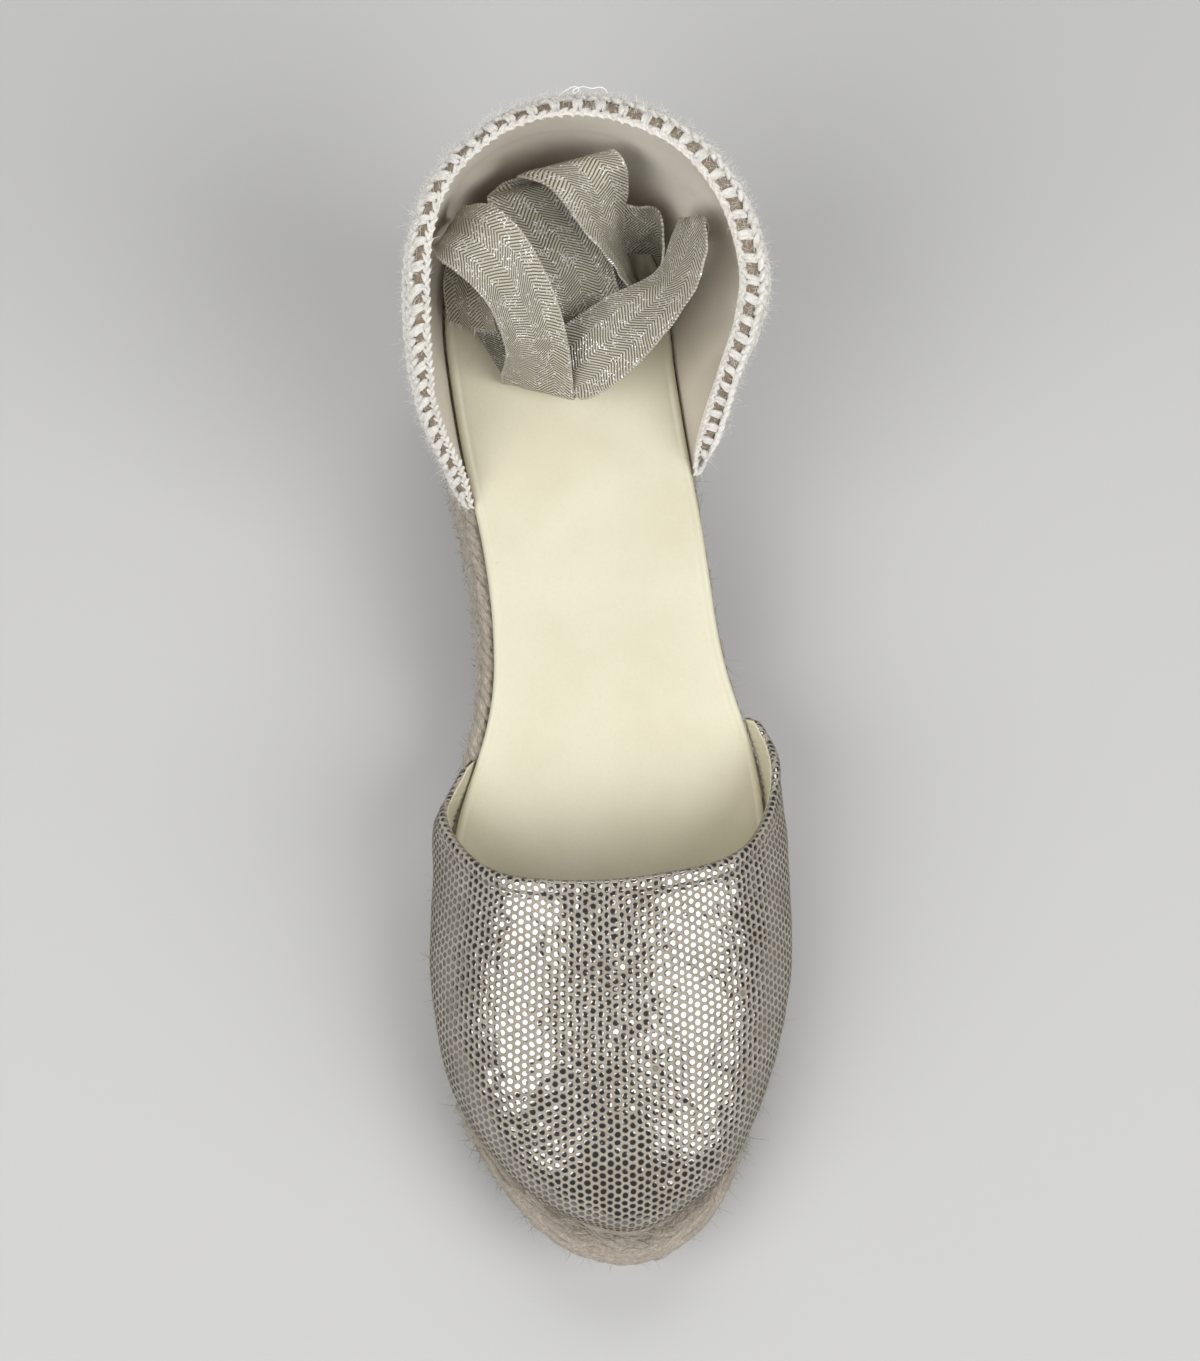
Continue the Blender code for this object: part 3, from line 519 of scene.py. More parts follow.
# ---------------------------------------------------------------- heel counter
def counter_grid(columns, rows):
    """Inner face of the counter: columns from the medial front end round the heel, rows from foot to rim."""
    ring = outline(INSOLE_OUTLINE, 200)
    out = outward(ring)
    ring = ring + out * SIDE_GAP
    half = len(ring) // 2
    medial = [i for i in range(half, len(ring)) if ring[i, 1] >= COUNTER_ENDS[0]][::-1]
    lateral = [i for i in range(0, half) if ring[i, 1] >= COUNTER_ENDS[1]][::-1]
    path = np.array([[*ring[i], *out[i]] for i in medial + lateral])
    far = np.concatenate([[0], np.cumsum(np.linalg.norm(np.diff(path[:, :2], axis=0), axis=1))])
    at = np.linspace(0, far[-1], columns + 1)
    path = np.stack([np.interp(at, far, path[:, k]) for k in range(4)], axis=1)
    grid = np.zeros((rows + 1, columns + 1, 3))
    for j, (x, s, nx, ns) in enumerate(path):
        share = float(np.clip((nx + 1) / 2, 0, 1))  # 0 on the inner side, 1 on the outer
        share = share * share * (3 - 2 * share)
        rim = (1 - share) * read(COUNTER_RIM, 1, s) + share * read(COUNTER_RIM, 2, s)
        flare = (1 - share) * read(COUNTER_RIM, 3, s) + share * read(COUNTER_RIM, 4, s)
        back = max(0.0, ns) ** 2
        for i in range(rows + 1):
            v = i / rows
            h = rim * v
            lean = flare * float(read(COUNTER_PROFILE, 1, h))
            lean -= COUNTER_CURL * min(1.0, rim / 40) * max(0.0, (v - 0.62) / 0.38) ** 2
            lean += back * (1.6 * math.sin(math.pi * min(1.0, h / 40)) - COUNTER_BACK_LEAN * v**2)
            px, ps = x + nx * lean, s + ns * lean
            grid[i, j] = (px, ps, float(jute_top(s)) + FIT_GAP + h)
    return grid


# ---------------------------------------------------------------- ankle ties
def insole_top(s):
    return jute_top(s) + FIT_GAP + INSOLE_THICK


def tie_edges(rows):
    """Each row's two edges, with the ribbon's true width between them."""
    edges = []
    for row in rows:
        a, b = np.array(row[:3], float), np.array(row[3:], float)
        middle, across = (a + b) / 2, (b - a) / np.linalg.norm(b - a)
        reach = TIE_WIDTH / 2 * TIE_SLANTS.get((row[0], row[1]), 1.0)
        edges.append(np.concatenate([middle - across * reach, middle + across * reach]))
    return edges


def tie_folds(start, end, layers, rising):
    """Places (distance, level) down a stack of flat folds, with a bend between two layers."""
    places = []
    order = range(layers) if rising else range(layers - 1, -1, -1)
    run = (start, (start + end) / 2, end)
    for k in order:
        places += [(at, k) for at in run]
        if k != order[-1]:
            turn = math.copysign(TIE_LAYER / 2, run[-1] - run[0])
            places.append((run[-1] + turn, k + (0.5 if rising else -0.5)))
        run = run[::-1]
    return places


def on_insole(x, s, level):
    """A point on the given layer of the folds that lie on the insole."""
    return [x, s, float(insole_top(s)) + 0.9 + level * TIE_LAYER]


def lengthwise_folds(middle, front, back, layers):
    """Folds that run from the front to the back and up."""
    half = TIE_WIDTH / 2
    return [
        np.array(on_insole(middle - half, s, k) + on_insole(middle + half, s, k))
        for s, k in tie_folds(front, back, layers, True)
    ]


def crosswise_folds(middle, inner, outer, layers):
    """Folds that run from side to side and down."""
    half = TIE_WIDTH / 2
    return [
        np.array(on_insole(x, middle - half, k) + on_insole(x, middle + half, k))
        for x, k in tie_folds(inner, outer, layers, False)
    ]




# ---------------------------------------------------------------- meshes
RNG = np.random.default_rng(7)


def make(name, points, faces, materials, uv=None, kinds=None, tint=None, sharp=50):
    """A mesh object from points in shoe millimetres."""
    mesh = bpy.data.meshes.new(name)
    mesh.from_pydata(placed(points).tolist(), [], [list(map(int, f)) for f in faces])
    mesh.validate()
    mesh.shade_smooth()
    if sharp:
        mesh.set_sharp_from_angle(angle=math.radians(sharp))
    for material in materials:
        mesh.materials.append(material)
    if kinds is not None:
        mesh.polygons.foreach_set("material_index", np.asarray(kinds, np.int32))
    if uv is not None:
        layer = mesh.uv_layers.new(name="UVMap")
        loops = np.empty(len(mesh.loops), np.int32)
        mesh.loops.foreach_get("vertex_index", loops)
        layer.data.foreach_set("uv", np.asarray(uv, np.float32)[loops].ravel())
    if tint is not None:
        data = mesh.attributes.new("tint", "FLOAT", "POINT")
        data.data.foreach_set("value", np.asarray(tint, np.float32))
    obj = bpy.data.objects.new(name, mesh)
    bpy.context.scene.collection.objects.link(obj)
    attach(obj, "root")
    return obj


def grid_faces(rows, cols, base=0, closed=False, flip=False):
    i, j = np.meshgrid(np.arange(rows - 1), np.arange(cols if closed else cols - 1), indexing="ij")
    k = (j + 1) % cols
    quads = np.stack([i * cols + j, (i + 1) * cols + j, (i + 1) * cols + k, i * cols + k], axis=-1)
    quads = quads.reshape(-1, 4) + base
    return quads[:, ::-1] if flip else quads


def closed_shell(outer, inner, rim_rows):
    """Outer and inner grids joined by rounded rows along the last row, and straight along the other three edges.

    Returns points, faces, kinds (0 outer and rim, 1 inner)."""
    rows, cols = outer.shape[:2]
    strip = np.concatenate([outer, rim_rows, inner[::-1]], axis=0)
    total = strip.shape[0]
    faces = grid_faces(total, cols)
    kinds = np.zeros(len(faces), int).reshape(total - 1, cols - 1)
    kinds[rows - 1 + len(rim_rows) - 1 :] = 1
    kinds = kinds.ravel().tolist()
    faces = faces.tolist()
    last = (total - 1) * cols
    for j in range(cols - 1):
        faces.append([j, j + 1, last + j + 1, last + j])
        kinds.append(1)
    for side in (0, cols - 1):
        for i in range(total // 2):
            a, b = i * cols + side, (i + 1) * cols + side
            c, d = (total - 2 - i) * cols + side, (total - 1 - i) * cols + side
            if i + 1 > total - 2 - i:
                break
            quad = [a, d, c, b] if side == 0 else [a, b, c, d]
            faces.append(quad if b != c else quad[:3] if side else [a, d, b])
            kinds.append(0)
    return strip.reshape(-1, 3), faces, kinds


def unit(v):
    return v / np.maximum(np.linalg.norm(v, axis=-1, keepdims=True), 1e-9)


def smooth(a, b, x):
    t = np.clip((np.asarray(x, float) - a) / (b - a), 0, 1)
    return t * t * (3 - 2 * t)


def waves(p, length, seed, count=14):
    """Smooth random field: a sum of plane waves of about the given length."""
    rng = np.random.default_rng(seed)
    total = 0
    for _ in range(count):
        d = unit(rng.normal(size=3))
        total = total + np.sin(p @ d * (2 * math.pi / (length * rng.uniform(0.7, 1.4))) + rng.uniform(0, 6.28))
    return total / math.sqrt(count / 2)


def grain_shape(around, along):
    """Template of a strand: x along, y across, z out, in -1..1, with its faces and a UV."""
    points, uv = [(-1, 0, 0)], [(0, 0)]
    for i in range(1, along):
        x = -math.cos(math.pi * i / along)
        r = (1 - abs(x) ** 2.6) ** 0.5
        for j in range(around):
            a = 2 * math.pi * j / around
            points.append((x, r * math.cos(a), r * math.sin(a)))
            uv.append(((x + 1) / 2, j / around))
    points.append((1, 0, 0))
    uv.append((1, 0))
    faces = []
    for j in range(around):
        k = (j + 1) % around
        faces.append((0, 1 + k, 1 + j))
        for i in range(along - 2):
            a = 1 + i * around
            faces.append((a + j, a + k, a + around + k, a + around + j))
        end = 1 + (along - 2) * around
        faces.append((end + j, end + k, len(points) - 1))
    return np.array(points, float), faces, np.array(uv, float)


def grains(name, rows, material, around=8, along=6, bend=0.5, ripple=0.0):
    """rows: arrays of centre, axis, out, (length, width, thickness). One joined mesh of strands."""
    shape, template, uv = grain_shape(around, along)
    centre = np.concatenate([r[0] for r in rows])
    axis = unit(np.concatenate([r[1] for r in rows]))
    out = np.concatenate([r[2] for r in rows])
    size = np.concatenate([r[3] for r in rows])
    out = unit(out - axis * (out * axis).sum(axis=1, keepdims=True))
    side = np.cross(out, axis)
    x, y, z = shape[:, 0], shape[:, 1], shape[:, 2]
    lift = z[None] * size[:, 2:3] / 2 - bend * (x**2)[None]
    points = (
        centre[:, None]
        + axis[:, None] * (x[None] * size[:, :1] / 2)[..., None]
        + side[:, None] * (y[None] * size[:, 1:2] / 2)[..., None]
        + out[:, None] * lift[..., None]
    )
    count, each = len(centre), len(shape)
    points = points.reshape(-1, 3)
    if ripple:
        points = points + ripple * np.stack([waves(points, 1.6, 90 + k) for k in range(3)], axis=1)
    faces = [[f + each * k for f in face] for k in range(count) for face in template]
    tint = np.repeat(np.random.default_rng(len(name) + count).uniform(0, 1, count), each)
    scale = np.repeat(size[:, 0] / size[:, 1], each)
    coords = np.tile(uv, (count, 1))
    coords[:, 0] = coords[:, 0] * scale + tint * 17
    return make(name, points, faces, [material], uv=coords, tint=tint, sharp=0)


def hairs(name, roots, directions, lengths, width, curl, material, seed, segments=5):
    """Fine loose fibres, each a thin three-sided tube."""
    rng = np.random.default_rng(seed)
    n = len(roots)
    d = unit(directions + rng.normal(scale=0.35, size=(n, 3)))
    bend = unit(np.cross(d, rng.normal(size=(n, 3))))
    amount = rng.uniform(0.3, 1.0, n) * curl
    line = []
    p, heading = roots.copy(), d
    for k in range(segments + 1):
        line.append(p)
        heading = unit(heading + bend * (amount / segments)[:, None] + rng.normal(scale=0.08, size=(n, 3)))
        p = p + heading * (lengths / segments)[:, None]
    line = np.stack(line, axis=1)
    across = unit(np.cross(d, bend))
    side = unit(np.cross(d, across))
    taper = np.linspace(1, 0.35, segments + 1)[None, :, None] * width / 2
    points = []
    for a in (0, 2.094, 4.189):
        points.append(line + (across[:, None] * math.cos(a) + side[:, None] * math.sin(a)) * taper)
    points = np.stack(points, axis=2).reshape(-1, 3)
    each = 3 * (segments + 1)
    template = []
    for k in range(segments):
        for j in range(3):
            a, b = 3 * k + j, 3 * k + (j + 1) % 3
            template.append((a, b, b + 3, a + 3))
    template += [(2, 1, 0), (each - 3, each - 2, each - 1)]
    faces = [[f + each * k for f in face] for k in range(n) for face in template]
    tint = np.repeat(rng.uniform(0, 1, n), each)
    return make(name, points, faces, [material], tint=tint, sharp=0)


def tube(name, curve, radius, material, around=8):
    """A round thread along a curve."""
    curve = np.asarray(curve, float)
    t = unit(np.gradient(curve, axis=0))
    up = np.array([0.13, 0.27, 0.95])
    a = unit(np.cross(t, up))
    b = np.cross(t, a)
    turn = np.linspace(0, 2 * math.pi, around, endpoint=False)
    rings = curve[:, None] + radius * (a[:, None] * np.cos(turn)[None, :, None] + b[:, None] * np.sin(turn)[None, :, None])
    faces = grid_faces(len(curve), around, closed=True).tolist()
    faces.append(list(range(around)))
    faces.append([(len(curve) - 1) * around + k for k in range(around)][::-1])
    return make(name, rings.reshape(-1, 3), faces, [material], sharp=0)


# ---------------------------------------------------------------- materials
class Look:
    """A node material, written as a few calls."""

    def __init__(self, name, slot=None):
        self.slot = slot
        self.material = bpy.data.materials.new(name)
        self.material.use_nodes = True
        self.tree = self.material.node_tree
        self.shader = self.tree.nodes["Principled BSDF"]

    def link(self, value, socket):
        if isinstance(value, bpy.types.NodeSocket):
            self.tree.links.new(value, socket)
        elif isinstance(value, tuple) and len(value) == 3 and socket.type == "RGBA":
            socket.default_value = (*value, 1)
        else:
            socket.default_value = value

    def node(self, kind, inputs=None, **settings):
        made = self.tree.nodes.new(kind)
        for key, value in settings.items():
            setattr(made, key, value)
        for key, value in (inputs or {}).items():
            self.link(value, made.inputs[key])
        return made

    def set(self, **values):
        for key, value in values.items():
            self.link(value, self.shader.inputs[key.replace("_", " ")])
        return self

    def math(self, operation, a, b=0.0, c=0.0, clamp=False):
        made = self.node("ShaderNodeMath", {0: a, 1: b, 2: c}, operation=operation, use_clamp=clamp)
        return made.outputs[0]

    def vector(self, operation, a, b=None, scale=None):
        made = self.node("ShaderNodeVectorMath", {0: a}, operation=operation)
        if b is not None:
            self.link(b, made.inputs[1])
        if scale is not None:
            self.link(scale, made.inputs["Scale"])
        return made.outputs["Value" if operation in ("LENGTH", "DOT_PRODUCT") else "Vector"]

    def position(self, scale=1000.0, stretch=(1, 1, 1)):
        coord = self.node("ShaderNodeTexCoord").outputs["Object"]
        return self.vector("MULTIPLY", coord, tuple(scale * k for k in stretch))

    def uv(self, stretch=(1, 1, 1)):
        coord = self.node("ShaderNodeUVMap", uv_map="UVMap").outputs[0]
        return self.vector("MULTIPLY", coord, stretch)

    def attribute(self, name):
        return self.node("ShaderNodeAttribute", attribute_name=name).outputs["Fac"]

    def noise(self, vector, size, detail=3.0, rough=0.55):
        return self.node(
            "ShaderNodeTexNoise", {"Vector": vector, "Scale": 1.0 / size, "Detail": detail, "Roughness": rough}
        ).outputs["Fac"]

    def cells(self, vector, size, feature="F1", output="Distance"):
        return self.node(
            "ShaderNodeTexVoronoi", {"Vector": vector, "Scale": 1.0 / size}, feature=feature
        ).outputs[output]

    def band(self, value, low, high, a=0.0, b=1.0):
        made = self.node(
            "ShaderNodeMapRange",
            {"Value": value, "From Min": low, "From Max": high, "To Min": a, "To Max": b},
            interpolation_type="SMOOTHSTEP",
        )
        return made.outputs[0]

    def mix(self, fac, a, b, blend="MIX"):
        made = self.node("ShaderNodeMix", data_type="RGBA", blend_type=blend)
        self.link(fac, made.inputs[0])
        self.link(a, made.inputs[6])
        self.link(b, made.inputs[7])
        return made.outputs[2]

    def bump(self, height, distance, strength=1.0, normal=None):
        """distance in millimetres for a height of 1"""
        inputs = {"Height": height, "Distance": distance / 1000, "Strength": strength}
        if normal is not None:
            inputs["Normal"] = normal
        return self.node("ShaderNodeBump", inputs).outputs[0]


def srgb(code):
    """Linear colour of a hex code, as lit by this studio's bright panels."""
    parts = [int(code[i : i + 2], 16) / 255 for i in (0, 2, 4)]
    return tuple(0.78 * (c / 12.92 if c <= 0.04045 else ((c + 0.055) / 1.055) ** 2.4) for c in parts)


def smooth_leather(name, colour, shade, roughness=0.42, pores=0.03, low=None):
    look = Look(name)
    p = look.position()
    cloud = look.noise(p, 38.0, 3)
    fine = look.noise(p, 0.9, 4, 0.6)
    pore = look.cells(p, 0.75)
    tone = look.mix(look.band(cloud, 0.35, 0.75), colour, shade)
    tone = look.mix(look.band(fine, 0.3, 0.9, 0.0, 0.16), tone, tuple(c * 0.72 for c in colour))
    if low:  # painted shade: darker towards the footbed, where the wall stands in shadow
        rise = look.node("ShaderNodeSeparateXYZ", {0: p}).outputs[2]
        tone = look.mix(look.band(rise, 100.0, 70.0, 0.0, 0.4), tone, low)
    height = look.math("ADD", look.math("MULTIPLY", fine, 0.6), look.band(pore, 0.0, 0.35))
    look.set(
        Base_Color=tone,
        Roughness=look.band(look.noise(p, 7.0, 3), 0.25, 0.8, roughness - 0.07, roughness + 0.1),
        Normal=look.bump(height, pores, 0.8),
        Specular_IOR_Level=0.42,
    )
    return look.material


DOT_STEP = 1.95  # from one mirror dot to the next
DOT_RADIUS = 0.345  # as a share of the step
DOT_TILT = math.radians(2.0)


def dotted_suede(name):
    """Taupe suede with a honeycomb of small mirror discs, each a little dished and tilted its own way."""
    look = Look(name)
    flat = look.uv()  # UVs are true millimetres on the flat leather
    wobble = look.node("ShaderNodeTexNoise", {"Vector": flat, "Scale": 0.22, "Detail": 1.0}).outputs["Color"]
    wobble = look.vector("SCALE", look.vector("SUBTRACT", wobble, (0.5, 0.5, 0.5)), scale=0.9)
    flat = look.vector("ADD", flat, wobble)
    turned = look.node(
        "ShaderNodeVectorRotate", {"Vector": flat, "Angle": DOT_TILT}, rotation_type="Z_AXIS"
    ).outputs[0]
    wide = DOT_STEP * math.sqrt(3)
    cell = look.vector("MULTIPLY", turned, (1 / wide, 1 / DOT_STEP, 0.0))

    def lattice(shift):
        moved = look.vector("ADD", cell, (shift, shift, 0.0))
        number = look.vector("FLOOR", moved)
        inside = look.vector("SUBTRACT", look.vector("SUBTRACT", moved, number), (0.5, 0.5, 0.0))
        offset = look.vector("MULTIPLY", inside, (math.sqrt(3), 1.0, 0.0))
        return number, offset, look.vector("LENGTH", offset)

    n0, o0, d0 = lattice(0.0)
    n1, o1, d1 = lattice(0.5)
    second = look.math("LESS_THAN", d1, d0)
    number = look.mix(second, n0, look.vector("ADD", n1, (57.0, 31.0, 0.0)))
    offset = look.mix(second, o0, o1)
    distance = look.math("MINIMUM", d0, d1)
    chance = look.node("ShaderNodeTexWhiteNoise", {"Vector": number}, noise_dimensions="2D")
    own = look.vector("SUBTRACT", chance.outputs["Color"], (0.5, 0.5, 0.5))
    edge = look.noise(flat, 0.55, 2)
    radius = look.math("ADD", DOT_RADIUS - 0.045, look.math("MULTIPLY", edge, 0.09))
    inside = look.math("SUBTRACT", radius, distance)
    dot = look.band(inside, -0.015, 0.03)
    # worn dots have lost their foil
    worn = look.math("GREATER_THAN", chance.outputs["Value"], 0.004)
    dot = look.math("MULTIPLY", dot, worn)
    p = look.position()
    # the mirror faces: dish, own tilt, and the soft creases of the leather between them
    uneven = look.node("ShaderNodeTexNoise", {"Vector": flat, "Scale": 0.42, "Detail": 2.0}).outputs["Color"]
    uneven = look.vector("SUBTRACT", uneven, (0.5, 0.5, 0.5))
    crumple = look.node("ShaderNodeTexNoise", {"Vector": flat, "Scale": 1.15, "Detail": 1.5}).outputs["Color"]
    crumple = look.vector("SUBTRACT", crumple, (0.5, 0.5, 0.5))
    deep = look.node("ShaderNodeTexNoise", {"Vector": flat, "Scale": 0.05, "Detail": 1.0}).outputs["Fac"]
    dish = look.math("MULTIPLY_ADD", look.math("MULTIPLY", distance, distance), look.band(deep, 0.35, 0.65, 2.2, 6.5), 0.08)
    lean = look.vector("ADD", look.vector("SCALE", offset, scale=dish), look.vector("SCALE", own, scale=0.14))
    lean = look.vector("ADD", lean, look.vector("SCALE", uneven, scale=0.26))
    lean = look.vector("ADD", lean, look.vector("SCALE", crumple, scale=0.34))
    lean = look.vector("MULTIPLY", lean, (0.5, 0.5, 0.0))
    colour = look.vector("ADD", lean, (0.5, 0.5, 1.0))
    tilt = look.node("ShaderNodeNormalMap", {"Color": colour, "Strength": 1.0}, space="TANGENT", uv_map="UVMap")
    nap = look.noise(p, 0.28, 4, 0.7)
    cloud = look.noise(p, 9.0, 3)
    suede = look.mix(look.band(cloud, 0.3, 0.75), srgb("bfb7aa"), srgb("aba294"))
    suede = look.mix(look.band(nap, 0.35, 0.75, 0.0, 0.5), suede, srgb("82776b"))
    pressed = look.band(inside, -0.09, 0.0)
    suede = look.mix(look.math("MULTIPLY", pressed, 0.5), suede, srgb("5f564c"))
    rough = look.bump(look.math("ADD", nap, look.math("MULTIPLY", pressed, -1.4)), 0.10, 0.9)
    normal = look.node("ShaderNodeMix", data_type="VECTOR")
    look.link(dot, normal.inputs[0])
    look.link(rough, normal.inputs[4])
    look.link(tilt.outputs[0], normal.inputs[5])
    look.set(
        Base_Color=look.mix(dot, suede, (0.285, 0.281, 0.274)),
        Metallic=dot,
        Roughness=look.band(dot, 0.0, 1.0, 0.82, 0.13),
        Normal=normal.outputs[1],
        Specular_IOR_Level=0.3,
        Specular_Tint=(0.35, 0.33, 0.3),
    )
    return look.material


def fibre(name, light, dark, deep, stretch=9.0, roughness=0.86):
    """Spun yarn: streaks along each strand, from the strand's own UV."""
    look = Look(name)
    uv = look.uv((1.0, stretch, 1.0))
    streak = look.noise(uv, 0.55, 4, 0.62)
    fine = look.noise(look.uv((2.0, stretch * 3.2, 1.0)), 0.5, 3, 0.6)
    p = look.position()
    cloud = look.noise(p, 5.0, 3)
    tone = look.mix(look.band(streak, 0.32, 0.68), dark, light)
    tone = look.mix(look.band(fine, 0.5, 0.8, 0.0, 0.6), tone, deep)
    tone = look.mix(look.math("MULTIPLY", look.attribute("tint"), 0.28), tone, dark)
    tone = look.mix(look.band(cloud, 0.5, 0.85, 0.0, 0.4), tone, dark)
    height = look.math("ADD", streak, look.math("MULTIPLY", fine, 0.6))
    look.set(
        Base_Color=tone, Roughness=roughness, Normal=look.bump(height, 0.22, 0.9), Specular_IOR_Level=0.2,
        Sheen_Weight=0.25, Sheen_Roughness=0.5,
    )
    return look.material


def matted(name, light, dark, size=0.8):
    """Pressed fibres with no strand of their own: the core under the braids and the ground under the crochet."""
    look = Look(name)
    p = look.position()
    a = look.noise(p, size, 4, 0.7)
    b = look.noise(look.position(stretch=(1, 0.35, 1.6)), size * 0.6, 4, 0.7)
    tone = look.mix(look.band(a, 0.3, 0.7), dark, light)
    look.set(
        Base_Color=look.mix(look.band(b, 0.5, 0.8, 0.0, 0.5), tone, tuple(c * 0.6 for c in dark)),
        Roughness=0.9,
        Normal=look.bump(look.math("ADD", a, b), 0.4, 0.9),
        Specular_IOR_Level=0.2,
    )
    return look.material


def plain_thread(name, colour, dark):
    look = Look(name)
    tint = look.attribute("tint")
    look.set(Base_Color=look.mix(tint, colour, dark), Roughness=0.75, Specular_IOR_Level=0.25)
    return look.material


def ribbon_look(name):
    """Herringbone tape: lengthwise stripes of fine ribs that slant by turns, with silver specks painted white as
    glints.
    """
    look = Look(name)
    uv = look.node("ShaderNodeUVMap", uv_map="UVMap").outputs[0]  # millimetres: across, along
    parts = look.node("ShaderNodeSeparateXYZ", {0: uv})
    u, v = parts.outputs[0], parts.outputs[1]
    wander = look.math("MULTIPLY", look.math("SUBTRACT", look.noise(uv, 5.0, 2), 0.5), 0.7)
    stripe = look.math("DIVIDE", u, 4.1)
    fold = look.math("PINGPONG", stripe, 1.0)  # 0..1..0 over two stripes
    slanted = look.math("ADD", v, look.math("MULTIPLY", fold, 4.1 * 0.85))
    phase = look.math("MULTIPLY", look.math("ADD", slanted, wander), 2 * math.pi / 0.84)
    rib = look.math("MULTIPLY_ADD", look.math("SINE", phase), 0.5, 0.5)
    cross = look.math("MULTIPLY", u, 2 * math.pi / 0.5)
    cross = look.math("MULTIPLY_ADD", look.math("SINE", cross), 0.5, 0.5)
    specks = look.cells(look.vector("MULTIPLY", uv, (1.0, 1.0, 0.0)), 0.37)
    chance = look.node("ShaderNodeTexWhiteNoise", {"Vector": look.node(
        "ShaderNodeTexVoronoi", {"Vector": uv, "Scale": 1 / 0.37}).outputs["Position"]}, noise_dimensions="2D")
    glint = look.math("MULTIPLY", look.math("GREATER_THAN", look.math("ADD", chance.outputs["Value"], look.band(look.noise(uv, 4.0, 2), 0.38, 0.62, -0.22, 0.2)), 0.81), look.band(specks, 0.55, 0.35))
    cloud = look.noise(uv, 3.0, 3)
    broken = look.noise(look.vector("MULTIPLY", uv, (1.0, 1.6, 1.0)), 0.5, 2)
    tone = look.mix(look.band(rib, 0.05, 0.6), srgb("575140"), srgb("dcd7c5"))
    tone = look.mix(look.band(broken, 0.45, 0.75, 0.0, 0.3), tone, srgb("968f7c"))
    tone = look.mix(look.band(cross, 0.0, 1.0, 0.16, 0.0), tone, srgb("6d6558"))
    tone = look.mix(look.band(cloud, 0.4, 0.8, 0.0, 0.25), tone, srgb("aaa392"))
    edge = look.math("ABSOLUTE", look.math("SUBTRACT", u, TIE_WIDTH / 2))
    selvedge = look.band(edge, TIE_WIDTH / 2 - 0.75, TIE_WIDTH / 2 - 0.35)
    bead = look.math("MULTIPLY_ADD", look.math("SINE", look.math("MULTIPLY", v, 2 * math.pi / 0.8)), 0.5, 0.5)
    tone = look.mix(look.math("MULTIPLY", selvedge, 0.75), tone, look.mix(bead, srgb("a69d8e"), srgb("e6e0d5")))
    # painted glints: the silver specks are coloured pure white
    tone = look.mix(glint, tone, (1.0, 1.0, 1.0))
    height = look.math("ADD", look.math("MULTIPLY", rib, 1.0), look.math("MULTIPLY", cross, 0.25))
    height = look.math("ADD", height, look.math("MULTIPLY", look.math("MULTIPLY", selvedge, bead), 1.0))
    look.set(
        Base_Color=tone,
        Metallic=look.math("MULTIPLY", glint, 0.35),
        Roughness=look.math("MULTIPLY_ADD", glint, -0.25, 0.46),
        Normal=look.bump(height, 0.2, 0.9),
        Specular_IOR_Level=0.5,
    )
    return look.material


def rubber_look(name):
    look = Look(name)
    p = look.position()
    speck = look.noise(p, 0.6, 4, 0.7)
    wear = look.noise(p, 22.0, 4)
    parts = look.node("ShaderNodeSeparateXYZ", {0: p})
    a = look.math("SINE", look.math("MULTIPLY", look.math("ADD", parts.outputs[1], parts.outputs[0]), 2 * math.pi / 3.6))
    b = look.math("SINE", look.math("MULTIPLY", look.math("SUBTRACT", parts.outputs[1], parts.outputs[0]), 2 * math.pi / 3.6))
    down = look.node("ShaderNodeSeparateXYZ", {0: look.node("ShaderNodeNewGeometry").outputs["Normal"]}).outputs[2]
    under = look.band(down, -0.6, -0.9)
    tread = look.math("MULTIPLY", look.band(look.math("MULTIPLY", a, b), -0.1, 0.12), under)
    tone = look.mix(look.band(speck, 0.3, 0.8), srgb("9b8363"), srgb("87704f"))
    tone = look.mix(look.band(wear, 0.5, 0.8, 0.0, 0.35), tone, srgb("6f5d45"))
    tone = look.mix(look.math("MULTIPLY", tread, 0.3), tone, srgb("60503a"))
    height = look.math("SUBTRACT", look.math("MULTIPLY", speck, 0.2), tread)
    look.set(Base_Color=tone, Roughness=look.band(wear, 0.3, 0.8, 0.55, 0.75), Normal=look.bump(height, 0.5, 0.9))
    return look.material


INSOLE_LOOK = smooth_leather("insole_leather", srgb("e8e3ca"), srgb("dfd8bc"), 0.46, 0.025)
LINING_LOOK = smooth_leather("lining_leather", srgb("ebe5cb"), srgb("ddd6ba"), 0.5, 0.03)
# the counter lining gets painted shade (cbbca6) low on its wall, towards the footbed
COUNTER_LINING = smooth_leather("counter_lining_leather", srgb("f8f2e6"), srgb("e9e0d0"), 0.5, 0.03, srgb("cbbca6"))
DOTS_LOOK = dotted_suede("dotted_suede")
JUTE_LOOK = fibre("jute_yarn", srgb("cfc6b8"), srgb("9c9183"), srgb("5a5145"), 12.0)
JUTE_CORE = matted("jute_core", srgb("ada294"), srgb("7d7264"))
JUTE_HAIR = plain_thread("jute_hair", srgb("ece5d8"), srgb("786d5a"))
COTTON_LOOK = fibre("cotton_yarn", (0.89, 0.87, 0.83), (0.72, 0.69, 0.64), (0.42, 0.385, 0.33), 7.0, 0.9)
COTTON_HAIR = plain_thread("cotton_hair", (0.9, 0.885, 0.85), (0.68, 0.655, 0.61))
MESH_GROUND = matted("counter_ground", srgb("b9aa97"), srgb("918370"), 0.5)
RIBBON_LOOK = ribbon_look("tie_ribbon")
RUBBER_LOOK = rubber_look("outsole_rubber")


def assign(node, material):
    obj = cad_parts[node]
    for k in range(len(obj.material_slots)):
        obj.material_slots[k].material = material


# ---------------------------------------------------------------- outsole
assign("outsole", RUBBER_LOOK)


